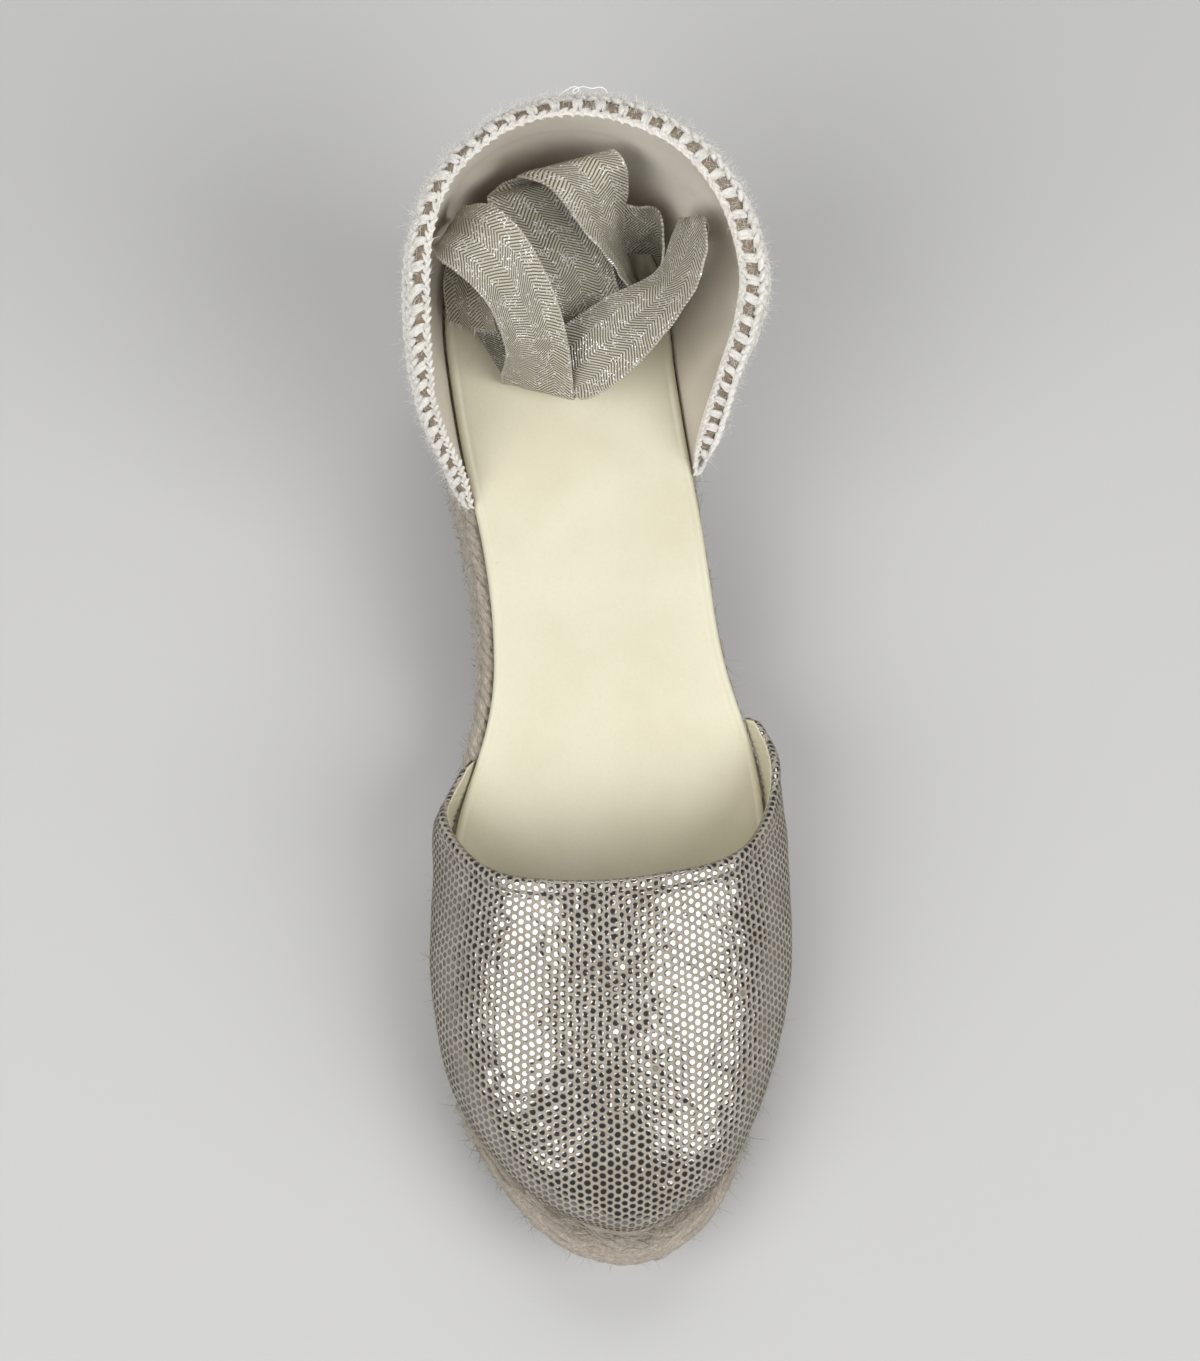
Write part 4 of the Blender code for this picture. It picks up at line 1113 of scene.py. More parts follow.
# ---------------------------------------------------------------- jute wedge
def jute_ring(stations, offset, depth):
    """Points on the wedge's side at a depth below its top edge, with the side's outward normals."""
    ring = outline(JUTE_OUTLINE, stations)
    out = outward(ring)
    top = jute_top(ring[:, 1])
    low = floor_line(ring[:, 1]) + OUTSOLE_THICK + FIT_GAP
    share = np.clip(1 - depth / (top - low), 0, 1)
    flare = read(SOLE_HEIGHTS, 3, ring[:, 1])
    stand = np.interp(share, column(JUTE_SIDE, 0), column(JUTE_SIDE, 1))
    lean = np.interp(share, column(JUTE_SIDE, 0), column(JUTE_SIDE, 2))
    moved = ring + out * (offset + stand + flare * lean)[:, None]
    return np.column_stack([moved, top - depth]), np.column_stack([out, np.zeros(len(out))]), top - depth - low


def braid(path, out, keep, pitch, width, slant, size, closed, seed):
    """Two columns of slanted strands along a path, like a flat plait seen from its face."""
    rng = np.random.default_rng(seed)
    if closed:
        path, out, keep = (np.concatenate([a, a[:1]]) for a in (path, out, keep))
    far = np.concatenate([[0], np.cumsum(np.linalg.norm(np.diff(path, axis=0), axis=1))])
    count = int(round(far[-1] / pitch))
    rows = []
    for column_side in (1, -1):
        at = (np.arange(count) + (0.0 if column_side > 0 else 0.5)) * far[-1] / count
        at = at + rng.normal(scale=0.03 * pitch, size=count)
        last = far[-1]

        def wrap(where):
            return where % last if closed else np.clip(where, 0, last)

        at = wrap(at)
        centre = np.stack([np.interp(at, far, path[:, k]) for k in range(3)], axis=1)
        ahead = np.stack([np.interp(wrap(at + 1.0), far, path[:, k]) for k in range(3)], axis=1)
        behind = np.stack([np.interp(wrap(at - 1.0), far, path[:, k]) for k in range(3)], axis=1)
        along = unit(ahead - behind)
        face = unit(np.stack([np.interp(at, far, out[:, k]) for k in range(3)], axis=1))
        across = unit(np.cross(face, along))
        ok = np.interp(at, far, keep.astype(float)) > 0.5
        angle = slant + rng.normal(scale=0.05, size=count)
        axis = along * np.cos(angle)[:, None] + across * (np.sin(angle) * column_side)[:, None]
        centre = centre + across * (column_side * width / 4) + face * rng.normal(scale=0.06, size=(count, 1))
        sizes = np.tile(np.array(size, float), (count, 1)) * rng.uniform(0.93, 1.07, (count, 1))
        rows.append((centre[ok], axis[ok], face[ok], sizes[ok]))
    return rows


def build_jute_look():
    ring_count = 170
    # core just inside the braids
    ring = outline(JUTE_OUTLINE, ring_count)
    out = outward(ring)
    flare = read(SOLE_HEIGHTS, 3, ring[:, 1])

    def low(s):
        return floor_line(s) + OUTSOLE_THICK + FIT_GAP

    rings = []
    for share, offset, lean in ((0.0, -2.8, 1.0), (0.08, -2.3, 1.0), (0.3, -2.2, 0.9), (0.6, -2.2, 0.6), (0.85, -2.3, 0.2), (0.95, -2.8, 0.0), (1.0, -3.8, 0.0)):
        moved = ring + out * (offset + flare * lean)[:, None]
        rings.append(np.column_stack([moved, low(moved[:, 1]) + (jute_top(moved[:, 1]) - 0.15 - low(moved[:, 1])) * share]))
    for inset in (6.0, 9.0):
        moved = ring - out * inset
        rings.append(np.column_stack([moved, jute_top(moved[:, 1]) - 0.15]))
    rings = np.array(rings)
    faces = grid_faces(len(rings), rings.shape[1], closed=True).tolist()
    n, half = rings.shape[1], rings.shape[1] // 2
    for base in (0, (len(rings) - 1) * n):
        for i in range(half):
            a, b, c, d = base + i, base + i + 1, base + (n - i - 1) % n, base + (n - i) % n
            quad = [a, b, c, d] if base == 0 else [d, c, b, a]
            quad = list(dict.fromkeys(quad))
            if len(quad) > 2:
                faces.append(quad)
    core = make("jute_core", rings.reshape(-1, 3), faces, [JUTE_CORE], sharp=60)
    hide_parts("jute_sole")

    # along the waist the top row is a twisted cord, round the toe it is matted lengthwise yarn
    tip = np.array([0, 0, 1.0])
    rows = []

    def lay(offset, depth, where, pitch, size, slant, spread, seed, tilt):
        """One line of strands along the wedge's edge, each with its own small slant."""
        line, out_dir, _ = jute_ring(ring_count, offset, depth)
        line = line + out_dir * (max(0.0, 1.5 + 0.3 * min(0.0, offset + 1.5)) * (1 - smooth(0, 26, line[:, 1])))[:, None]
        line, out_dir = np.concatenate([line, line[:1]]), np.concatenate([out_dir, out_dir[:1]])
        run = np.concatenate([[0], np.cumsum(np.linalg.norm(np.diff(line, axis=0), axis=1))])
        local = np.random.default_rng(seed)
        at = np.arange(0, run[-1], pitch) + local.normal(scale=pitch * 0.12, size=len(np.arange(0, run[-1], pitch)))

        def read_at(data, shift=0.0):
            return np.stack([np.interp((at + shift) % run[-1], run, data[:, k]) for k in range(3)], axis=1)

        along = unit(read_at(line, 1.0) - read_at(line, -1.0))
        face = unit(read_at(out_dir) * tilt + tip * (1 - tilt))
        across = np.cross(face, along)
        angle = slant + np.clip(local.normal(scale=spread, size=len(at)), -1.5 * spread, 1.5 * spread)
        axis = along * np.cos(angle)[:, None] + across * np.sin(angle)[:, None]
        middle = read_at(line) + face * local.normal(scale=0.12, size=(len(at), 1)) + across * local.normal(scale=0.15, size=(len(at), 1))
        ok = where(middle[:, 1])
        sizes = np.tile(np.array(size, float), (len(at), 1)) * local.uniform(0.85, 1.15, (len(at), 1))
        rows.append((middle[ok], axis[ok], face[ok], sizes[ok]))

    def waist(s):
        return s > 86

    def toe(s):
        return s < 92

    lay(-1.9, 1.25, waist, 2.9, (7.2, 2.5, 2.5), 0.46, 0.05, 11, 0.4)
    lay(-1.5, 4.0, waist, 2.9, (7.0, 2.4, 2.4), -0.46, 0.05, 12, 0.9)
    for number, (offset, depth, tilt) in enumerate(((-1.5, 3.9, 0.9), (-1.2, 2.5, 0.75), (-1.5, 1.3, 0.5), (-2.5, 0.75, 0.3))):
        lay(offset, depth, toe, 2.1, (8.5, 1.7, 1.5), 0.1, 0.17, 13 + number, tilt)
    for number, offset in enumerate((-3.0, -3.9, -5.1, -6.4)):
        lay(offset, 0.75, lambda s: s < 46, 2.0, (8.0, 1.8, 1.4), 0.0, 0.28, 21 + number, 0.1)
    top = grains("jute_top_braid", rows, JUTE_LOOK, 8, 7, 0.5, 0.13)
    # rows down the side, each as far round as the wedge is high enough for it
    rows, step = [], 6.3
    for k in range(9):
        depth = 8.3 + step * k
        path, side, left = jute_ring(ring_count, -1.7, depth)
        keep = left > np.where(path[:, 1] > 108, 4.2, 2.9)
        if keep.sum() < 4:
            break
        rows += braid(path, side + 0.08 * tip, keep, 4.5, step, 0.66, (7.2, 3.4, 2.9), True, 20 + k)
    # a narrower row along the foot closes the rows that run out there
    depths = np.arange(4.3, 66.0, 2.0)
    stack = [jute_ring(ring_count, -1.5, depth) for depth in depths]
    foot_depth = depths[0] + stack[0][2] - 2.2
    foot = np.array([
        [np.interp(foot_depth[i], depths, [ring[0][i, c] for ring in stack]) for c in range(3)]
        for i in range(len(foot_depth))
    ])
    rows += braid(foot, stack[0][1] + 0.08 * tip, foot[:, 1] > 106, 4.4, 3.4, 0.6, (5.8, 2.2, 2.3), True, 47)
    lower = grains("jute_side_braids", rows, JUTE_LOOK, 8, 6, 0.7, 0.05)

    rng = np.random.default_rng(5)
    roots, dirs, lengths = [], [], []
    path, side, _ = jute_ring(ring_count, -0.3, 2.6)
    inner, _, _ = jute_ring(ring_count, -4.2, -0.35)
    weight = np.where(path[:, 1] < 92, 1.0, 0.16)
    many = 4000
    pick = rng.choice(len(path), many, p=weight / weight.sum())
    share = rng.uniform(0, 1, (many, 1))
    roots.append(path[pick] * (1 - share) + inner[pick] * share + rng.normal(scale=0.3, size=(many, 3)))
    tangent = unit(np.roll(path, -2, axis=0) - np.roll(path, 2, axis=0))[pick]
    dirs.append(side[pick] * 0.2 + np.array([0, 0, 0.15]) + tangent * rng.choice([-1.0, 1.0], (many, 1)) * rng.uniform(0.6, 3.0, (many, 1)))
    lengths.append(rng.uniform(1.6, 6.0, many))
    stray = rng.choice(len(path), 260, p=weight / weight.sum())
    roots.append(path[stray])
    dirs.append(side[stray] + np.array([0, 0, 0.15]) + rng.normal(scale=0.6, size=(260, 3)))
    lengths.append(rng.uniform(1.5, 5.5, 260))
    # tangled fuzz on the ledge
    pick = rng.choice(len(path), 700, p=weight / weight.sum())
    share = rng.uniform(-0.05, 0.9, (700, 1))
    roots.append(path[pick] * (1 - share) + inner[pick] * share + np.array([0, 0, 0.5]))
    dirs.append(rng.normal(scale=1.0, size=(700, 3)) + np.array([0, 0, 0.6]))
    lengths.append(rng.uniform(1.2, 3.4, 700))
    for k in range(9):
        path, side, left = jute_ring(ring_count, 0.0, 8.3 + step * k)
        ok = np.flatnonzero(left > 2)
        if len(ok) < 2:
            break
        pick = rng.choice(ok, 160)
        roots.append(path[pick] + rng.normal(scale=0.8, size=(160, 3)) * np.array([0.2, 0.2, 1]))
        dirs.append(side[pick] + rng.normal(scale=0.6, size=(160, 3)))
        lengths.append(rng.uniform(0.8, 2.2, 160))
    fuzz = hairs("jute_fibres", np.concatenate(roots), np.concatenate(dirs), np.concatenate(lengths), 0.12, 1.3, JUTE_HAIR, 31, 4)


# ---------------------------------------------------------------- insole
def build_insole_look():
    ring = outline(INSOLE_OUTLINE, 150)
    out = outward(ring)

    def low(s):
        return jute_top(s) + FIT_GAP

    profile = (
        (-0.9, 0.0), (-0.2, 0.08), (0.0, 0.5), (0.0, 1.2), (-0.12, 1.75), (-0.45, 2.2), (-1.0, 2.45),
        (-1.5, 2.46), (-1.85, 2.3), (-2.15, 2.28), (-2.5, 2.36), (-3.4, 2.38), (-8.0, 2.4),
    )
    rings = []
    for offset, lift in profile:
        moved = ring + out * offset
        rings.append(np.column_stack([moved, low(moved[:, 1]) + lift]))
    rings = np.array(rings)
    n, half = rings.shape[1], rings.shape[1] // 2
    points = rings.reshape(-1, 3).tolist()
    faces = grid_faces(len(rings), n, closed=True).tolist()
    across = 22
    for level, lift in ((0, 0.0), (len(rings) - 1, 2.4)):
        base = level * n
        ringk = rings[level]
        lines = [[base] * (across + 1)]
        for i in range(1, half):
            a, b = ringk[i], ringk[n - i]
            line = [base + i]
            for k in range(1, across):
                t = k / across
                x, s = a[:2] + (b[:2] - a[:2]) * t
                crown = 0.0
                if level:
                    crown = -0.35 * math.sin(math.pi * t) ** 2
                line.append(len(points))
                points.append([x, s, float(jute_fast(s)) + FIT_GAP + lift + crown])
            lines.append(line + [base + n - i])
        lines.append([base + half] * (across + 1))
        for r0, r1 in zip(lines, lines[1:]):
            for k in range(across):
                face = list(dict.fromkeys((r0[k], r0[k + 1], r1[k + 1], r1[k])))
                faces.append(face if level == 0 else face[::-1])
    insole = make("insole_pad", points, faces, [INSOLE_LOOK], sharp=0)
    recalc(insole)
    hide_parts("insole")


def recalc(obj):
    import bmesh

    work = bmesh.new()
    work.from_mesh(obj.data)
    bmesh.ops.recalc_face_normals(work, faces=work.faces)
    work.to_mesh(obj.data)
    work.free()


S_FINE = np.linspace(-5, 255, 1500)
JUTE_FINE = jute_top(S_FINE)
ROOF_FINE = read(VAMP_ROOF, 1, S_FINE)


def jute_fast(s):
    return np.interp(s, S_FINE, JUTE_FINE)


# ---------------------------------------------------------------- vamp
def vamp_rows(columns, shares):
    """The outer face at the given shares from the toe (0) to the top line (1)."""
    shape = Vamp()
    toe, top, medial, lateral = shape.borders()
    front, back = evenly(toe, columns + 1), evenly(top, columns + 1)

    def along(line):
        far = np.concatenate([[0], np.cumsum(np.linalg.norm(np.diff(line, axis=0), axis=1))])
        return np.stack([np.interp(np.asarray(shares) * far[-1], far, line[:, k]) for k in range(2)], axis=1)

    left, right = along(medial), along(lateral)
    grid = np.zeros((len(shares), columns + 1, 3))
    plans = np.zeros((len(shares), columns + 1, 2))
    for i, b in enumerate(shares):
        for j in range(columns + 1):
            a = j / columns
            plan = (1 - b) * front[j] + b * back[j] + (1 - a) * left[i] + a * right[i]
            plan = plan - (1 - a) * (1 - b) * front[0] - a * (1 - b) * front[-1]
            plan = plan - (1 - a) * b * back[0] - a * b * back[-1]
            plans[i, j] = plan
            grid[i, j] = shape.roll(plan)
    return grid, plans


def flat_pattern(columns, rows):
    """True-size flat coordinates of the vamp's leather, from an unwrap of a coarse copy."""
    shares = np.linspace(0, 1, rows + 1)
    grid, plans = vamp_rows(columns, shares)
    mesh = bpy.data.meshes.new("pattern")
    mesh.from_pydata(grid.reshape(-1, 3).tolist(), [], grid_faces(rows + 1, columns + 1).tolist())
    mesh.uv_layers.new(name="UVMap")
    obj = bpy.data.objects.new("pattern", mesh)
    bpy.context.scene.collection.objects.link(obj)
    for other in bpy.context.selected_objects:
        other.select_set(False)
    obj.select_set(True)
    bpy.context.view_layer.objects.active = obj
    bpy.ops.object.mode_set(mode="EDIT")
    bpy.ops.mesh.select_all(action="SELECT")
    bpy.ops.uv.unwrap(method="MINIMUM_STRETCH", fill_holes=False, iterations=30)
    bpy.ops.object.mode_set(mode="OBJECT")
    loops = np.empty(len(mesh.loops), np.int32)
    mesh.loops.foreach_get("vertex_index", loops)
    data = np.empty(len(mesh.loops) * 2, np.float32)
    mesh.uv_layers[0].data.foreach_get("uv", data)
    uv = np.zeros((len(mesh.vertices), 2))
    uv[loops] = data.reshape(-1, 2)
    bpy.data.objects.remove(obj, do_unlink=True)
    bpy.data.meshes.remove(mesh)
    flat = uv.reshape(rows + 1, columns + 1, 2)
    true = np.linalg.norm(np.diff(grid, axis=1), axis=2).sum() + np.linalg.norm(np.diff(grid, axis=0), axis=2).sum()
    drawn = np.linalg.norm(np.diff(flat, axis=1), axis=2).sum() + np.linalg.norm(np.diff(flat, axis=0), axis=2).sum()
    flat = (flat - flat.reshape(-1, 2).mean(axis=0)) * true / drawn
    # turn it to lie as on the shoe
    target = plans - plans.reshape(-1, 2).mean(axis=0)
    u, _, v = np.linalg.svd(flat.reshape(-1, 2).T @ target.reshape(-1, 2))
    return flat @ (u @ v)


def cubic(values, at):
    """Smooth reading along the first axis of evenly spaced rows, at places 0..1."""
    n = len(values) - 1
    x = np.clip(np.asarray(at) * n, 0, n)
    i = np.minimum(x.astype(int), n - 1)
    t = (x - i).reshape(-1, *([1] * (values.ndim - 1)))
    padded = np.concatenate([2 * values[:1] - values[1:2], values, 2 * values[-1:] - values[-2:-1]])
    a, b, c, d = (padded[i + k] for k in range(4))
    return 0.5 * (2 * b + (c - a) * t + (2 * a - 5 * b + 4 * c - d) * t**2 + (3 * b - a - 3 * c + d) * t**3)


def build_vamp_look():
    columns = 168
    shares = np.concatenate([np.linspace(0, 0.93, 118, endpoint=False), np.linspace(0.93, 1, 26)])
    outer, _ = vamp_rows(columns, shares)
    coarse = flat_pattern(42, 36)
    flat = cubic(coarse, shares)
    flat = np.swapaxes(cubic(np.swapaxes(flat, 0, 1), np.linspace(0, 1, columns + 1)), 0, 1)
    n = grid_normals(outer)
    if n[60, 84, 2] < 0:
        n = -n
    inner = outer - n * VAMP_WALL
    # soft unevenness of lasted leather
    foot = np.minimum(1, (outer[..., 2] - (jute_fast(outer[..., 1]) + FIT_GAP)) / 5)[..., None]
    swell = 0.12 * waves(outer, 21.0, 3) + 0.05 * waves(outer, 8.0, 4) + 0.02 * waves(outer, 4.0, 5)
    outer = outer + n * swell[..., None] * foot
    # folded edge along the top line
    far = np.zeros(outer.shape[:2])
    steps = np.linalg.norm(np.diff(outer, axis=0), axis=2)
    far[:-1] = steps[::-1].cumsum(axis=0)[::-1]
    fold = 0.42 * (1 - smooth(1.9, 2.7, far)) - 0.16 * np.exp(-(((far - 2.9) / 0.5) ** 2))
    outer = outer + n * fold[..., None]
    # the two rear ends bend in to the footbed
    ring = outline(INSOLE_OUTLINE, 600)
    for end in (0, -1):
        corner = inner[-1, end, :2].copy()
        way = ring - corner
        gap = np.linalg.norm(way, axis=1)
        pull = way[gap.argmin()] * max(0.0, gap.min() - 0.5) / gap.min()
        foot = way[gap.argmin()] + corner
        side_way = -1 if foot[0] < 0 else 1
        cut_back, swell_out = (0.75, 1.7) if side_way < 0 else (0.5, 0.3)
        for face in (outer, inner):
            away = np.linalg.norm(face[..., :2] - corner, axis=-1)
            face[..., :2] += pull * (1 - smooth(0.0, 12.0, away))[..., None]
            outwards = np.clip((face[..., 0] - foot[0]) * side_way, 0, 8)
            near = 1 - smooth(0.0, 15.0, corner[1] - face[..., 1])
            near = near * (np.abs(face[..., 0] - corner[0]) < 22)
            face[..., 1] -= cut_back * outwards * near
            lift = np.clip((face[..., 2] - jute_fast(face[..., 1])) / 7.0, 0, 1)
            bulge = np.exp(-(((corner[1] - face[..., 1] - 14.0) / 8.5) ** 2)) * (face[..., 0] * side_way > 12)
            face[..., 0] += side_way * swell_out * bulge * lift
    edge_dir = unit(outer[-1] - outer[-4])
    middle, half = (outer[-1] + inner[-1]) / 2, np.linalg.norm(outer[-1] - inner[-1], axis=1)[:, None] / 2
    up = unit(outer[-1] - inner[-1])
    turns = np.linspace(0, math.pi, 8)[1:-1]
    rim = np.array([middle + half * (up * math.cos(a) + edge_dir * math.sin(a) * 0.9) for a in turns])
    for face in (outer, inner):
        for line in (face[0], face[:, 0], face[:, -1]):
            line[:, 2] = jute_fast(line[:, 1]) + FIT_GAP
    rim[:, 0, 2] = rim[:, -1, 2] = 0
    rim[:, 0, 2] = jute_fast(rim[:, 0, 1]) + FIT_GAP
    rim[:, -1, 2] = jute_fast(rim[:, -1, 1]) + FIT_GAP
    points, faces, kinds = closed_shell(outer, inner, rim)
    grow = unit(flat[-1] - flat[-3])
    rim_uv = np.array([flat[-1] + grow * VAMP_WALL / 2 * a * 0.95 for a in turns])
    uv = np.concatenate([flat, rim_uv, flat[::-1]]).reshape(-1, 2)
    vamp = make("vamp_upper", points, faces, [DOTS_LOOK, LINING_LOOK], uv=uv, kinds=kinds, sharp=70)
    recalc(vamp)
    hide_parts("vamp")
    # stitches that hold the lining, along the inside of the edge
    line = inner[-5] - n[-5] * 0.06
    curve = evenly(line[4:-4], 900)
    far = np.concatenate([[0], np.cumsum(np.linalg.norm(np.diff(curve, axis=0), axis=1))])
    at = np.arange(2.0, far[-1] - 2.0, 2.5)
    centre = np.stack([np.interp(at, far, curve[:, k]) for k in range(3)], axis=1)
    ahead = np.stack([np.interp(at + 0.5, far, curve[:, k]) for k in range(3)], axis=1)
    face = evenly(-n[-5][4:-4], 900)
    face = np.stack([np.interp(at, far, face[:, k]) for k in range(3)], axis=1)
    size = np.tile([1.9, 0.42, 0.36], (len(at), 1))
    stitch = grains("lining_stitches", [(centre, ahead - centre, face, size)], COTTON_LOOK, 6, 6, 0.1)
    return outer, n


# ---------------------------------------------------------------- heel counter
def counter_face():
    columns, rows = 260, 46
    inner = counter_grid(columns, rows)
    n = grid_normals(inner)
    if n[20, 130, 1] < 0:
        n = -n
    inner[0, :, 2] = jute_fast(inner[0, :, 1]) + FIT_GAP
    return inner, n


def build_counter_look():
    inner, n = counter_face()
    rows, columns = inner.shape[:2]
    tall = np.linalg.norm(np.diff(inner, axis=0), axis=2)
    height = np.concatenate([np.zeros((1, columns)), tall.cumsum(axis=0)])
    total = height[-1]
    face_up = unit(np.gradient(inner, axis=0))
    # both front ends thin out, and the outer one spreads over the jute
    from_start = np.concatenate([[0], np.cumsum(np.linalg.norm(np.diff(inner[-1], axis=0), axis=1))])
    from_end = from_start[-1] - from_start
    from_tip = np.minimum(from_start, from_end)
    thin = 0.2 + 0.8 * np.clip(from_tip / 14, 0, 1)
    front = 1 - smooth(18, 48, from_end)
    corner = smooth(25, 60, from_end) * (1 - smooth(95, 130, from_end))
    spread = 3.2 * (1 - smooth(16, 46, from_end)) * np.clip(from_end / 20, 0, 1) + 1.6 * corner
    # radius of the rolled top edge
    bend = np.minimum(np.minimum(2.6 + 2.2 * front + 1.8 * corner, 0.6 * total), 0.35 + 0.26 * from_tip)

    def on_wall(up_to):
        """The inner face, its outward normal and its upward direction at a height up each column."""
        found = np.zeros((3, columns, 3))
        for j in range(columns):
            for m, data in enumerate((inner, n, face_up)):
                for k in range(3):
                    found[m, j, k] = np.interp(up_to[j], height[:, j], data[:, j, k])
        return found[0], unit(found[1]), unit(found[2])

    def thick(below):
        wall = 1.7 * (0.5 + 0.5 * thin)
        plain_wall = wall + (bend - wall) * (1 - smooth(0, 18, below - bend))
        return (plain_wall + spread * np.clip((below - bend) / total, 0, 1))[:, None]

    centre, roll_out, roll_up = on_wall(total - bend)
    arc = bend * math.pi / 2

    def at_depth(depth, stand):
        """Where the crochet lies this far down from the lining's edge, measured over the rolled edge."""
        below = bend + np.maximum(depth - arc, 0)
        place, side, up = on_wall(total - below)
        place = place + side * thick(below)
        turn = np.clip(1 - depth / arc, 0, 1) * math.pi / 2
        c, s = np.cos(turn)[:, None], np.sin(turn)[:, None]
        rolled = (depth < arc)[:, None]
        place = np.where(rolled, centre + bend[:, None] * (roll_out * c + roll_up * s), place)
        side = unit(np.where(rolled, roll_out * c + roll_up * s, side))
        up = unit(np.where(rolled, roll_up * c - roll_out * s, up))
        return place + side * stand, side, up, total - below > 0.8

    outer = np.zeros_like(inner)
    for i in range(rows):
        up_to = (total - bend) * i / (rows - 1)
        place, side, _ = on_wall(up_to)
        outer[i] = place + side * thick(total - up_to)
    outer[0, :, 2] = jute_fast(outer[0, :, 1]) + FIT_GAP
    turns = np.linspace(0, math.pi / 2 * 0.94, 9)[1:]
    rim = np.array([centre + bend[:, None] * (roll_out * math.cos(a) + roll_up * math.sin(a)) for a in turns])
    # the lining swells a little between its seams
    rise = np.linspace(0, 1, rows)[:, None]
    lining = inner + n * (0.25 * waves(inner, 26.0, 8) * np.sin(math.pi * rise))[..., None]
    points, faces, kinds = closed_shell(outer, lining, rim)
    wall = make("counter_wall", points, faces, [MESH_GROUND, COUNTER_LINING], kinds=kinds, sharp=70)
    recalc(wall)
    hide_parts("heel_counter")

    # crochet: rows counted down from the rim
    rim_rows, low_rows = [], []
    # a thin chain along the lining's edge
    path, side, rise_dir, keep = at_depth(0.65, 0.05)
    rim_rows += braid(path, side, keep, 2.2, 1.1, 0.42, (2.8, 0.9, 0.85), False, 41)
    period = 5.2
    rng = np.random.default_rng(77)
    for k in range(11):
        target = rim_rows if k < 2 else low_rows
        # bar row: upright posts with square holes between them
        path, side, rise_dir, keep = at_depth(2.75 + period * k, 0.3)
        if keep.sum() < 8:
            break
        length = np.concatenate([[0], np.cumsum(np.linalg.norm(np.diff(path, axis=0), axis=1))])
        count = int(length[-1] / 4.9)
        at = (np.arange(count) + 0.5 * (k % 2)) * 4.9 + rng.normal(scale=0.2, size=count)
        ok = np.interp(at, length, keep.astype(float)) > 0.9
        at = at[ok & (at > 0.5) & (at < length[-1] - 0.5)]

        def sample(data, where):
            return np.stack([np.interp(where, length, data[:, c]) for c in range(3)], axis=1)

        along = unit(sample(path, at + 0.6) - sample(path, at - 0.6))
        for shift, lean in ((-0.62, 0.03), (0.0, -0.05), (0.62, -0.02)):
            middle = sample(path, at) + along * shift
            axis = sample(rise_dir, at) + along * (lean + rng.normal(scale=0.06, size=(len(at), 1)))
            size = np.tile([3.9, 1.0, 1.15], (len(at), 1)) * rng.uniform(0.9, 1.1, (len(at), 1))
            target.append((middle, axis, sample(side, at), size))
        # chain row under it
        path, side, rise_dir, keep = at_depth(5.35 + period * k, 0.55)
        if keep.sum() > 8:
            target += braid(path, side, keep, 2.6, 2.0, 0.52, (3.6, 1.35, 1.45), False, 50 + k)
    # a chain along the foot of the wall closes the rows that run out there
    path, side, _ = on_wall(np.full(columns, 0.9))
    path = path + side * (thick(total - 0.9) + 0.5)
    low_rows += braid(path, side, total > 4, 2.7, 2.3, 0.52, (3.8, 1.5, 1.6), False, 71)
    upper = grains("counter_crochet_rim", rim_rows, COTTON_LOOK, 9, 7, 0.45, 0.06)
    lower = grains("counter_crochet", low_rows, COTTON_LOOK, 8, 6, 0.45, 0.06)

    roots, dirs, lengths = [], [], []
    for depth, amount in ((0.5, 700), (2.8, 1300), (5.3, 1800), (8.0, 600), (10.5, 400), (16.0, 300), (24.0, 250), (34.0, 200), (44.0, 150)):
        path, side, rise_dir, keep = at_depth(depth, 1.0)
        pick = rng.choice(np.flatnonzero(keep), amount)
        shift = rng.uniform(-1.6, 1.6, (amount, 1)) if depth > 1 else rng.uniform(-0.8, 0.2, (amount, 1))
        roots.append(path[pick] + rise_dir[pick] * shift + rng.normal(scale=0.15, size=(amount, 3)))
        dirs.append(side[pick] + rise_dir[pick] * (0.5 if depth > 4 else 0.0) + rng.normal(scale=0.7, size=(amount, 3)))
        lengths.append(rng.uniform(0.6, 2.6, amount) * np.where(rng.uniform(size=amount) < 0.06, 1.8, 1.0))
    fuzz = hairs("counter_fuzz", np.concatenate(roots), np.concatenate(dirs), np.concatenate(lengths), 0.1, 2.2, COTTON_HAIR, 33, 4)

    # a loose end of yarn at the back
    path, side, rise_dir, keep = at_depth(5.0, 1.1)
    j = int(np.argmin(np.abs(path[:, 0] - 1.5) + 1000 * (path[:, 1] < 200)))
    out, up = side[j], rise_dir[j]
    across = unit(np.cross(up, out)) * (1 if np.cross(up, out)[0] > 0 else -1)
    loose = ((-2.5, -0.9, 0), (-1.2, 0.2, 0.3), (0.6, 1.4, 0.6), (2.2, 1.8, 0.9), (2.9, 1.0, 1.1), (1.9, 0.4, 1.0), (1.7, 1.1, 1.1),
             (3.6, 1.7, 1.2), (5.6, 1.3, 1.1), (7.4, 1.5, 0.9), (8.6, 0.9, 0.6), (9.2, -0.6, 0.2))
    curve = np.array([path[j] + across * a + out * b + up * c for a, b, c in loose])
    thread = tube("counter_loose_thread", cubic(curve, np.linspace(0, 1, 110)), 0.11, COTTON_HAIR, 7)


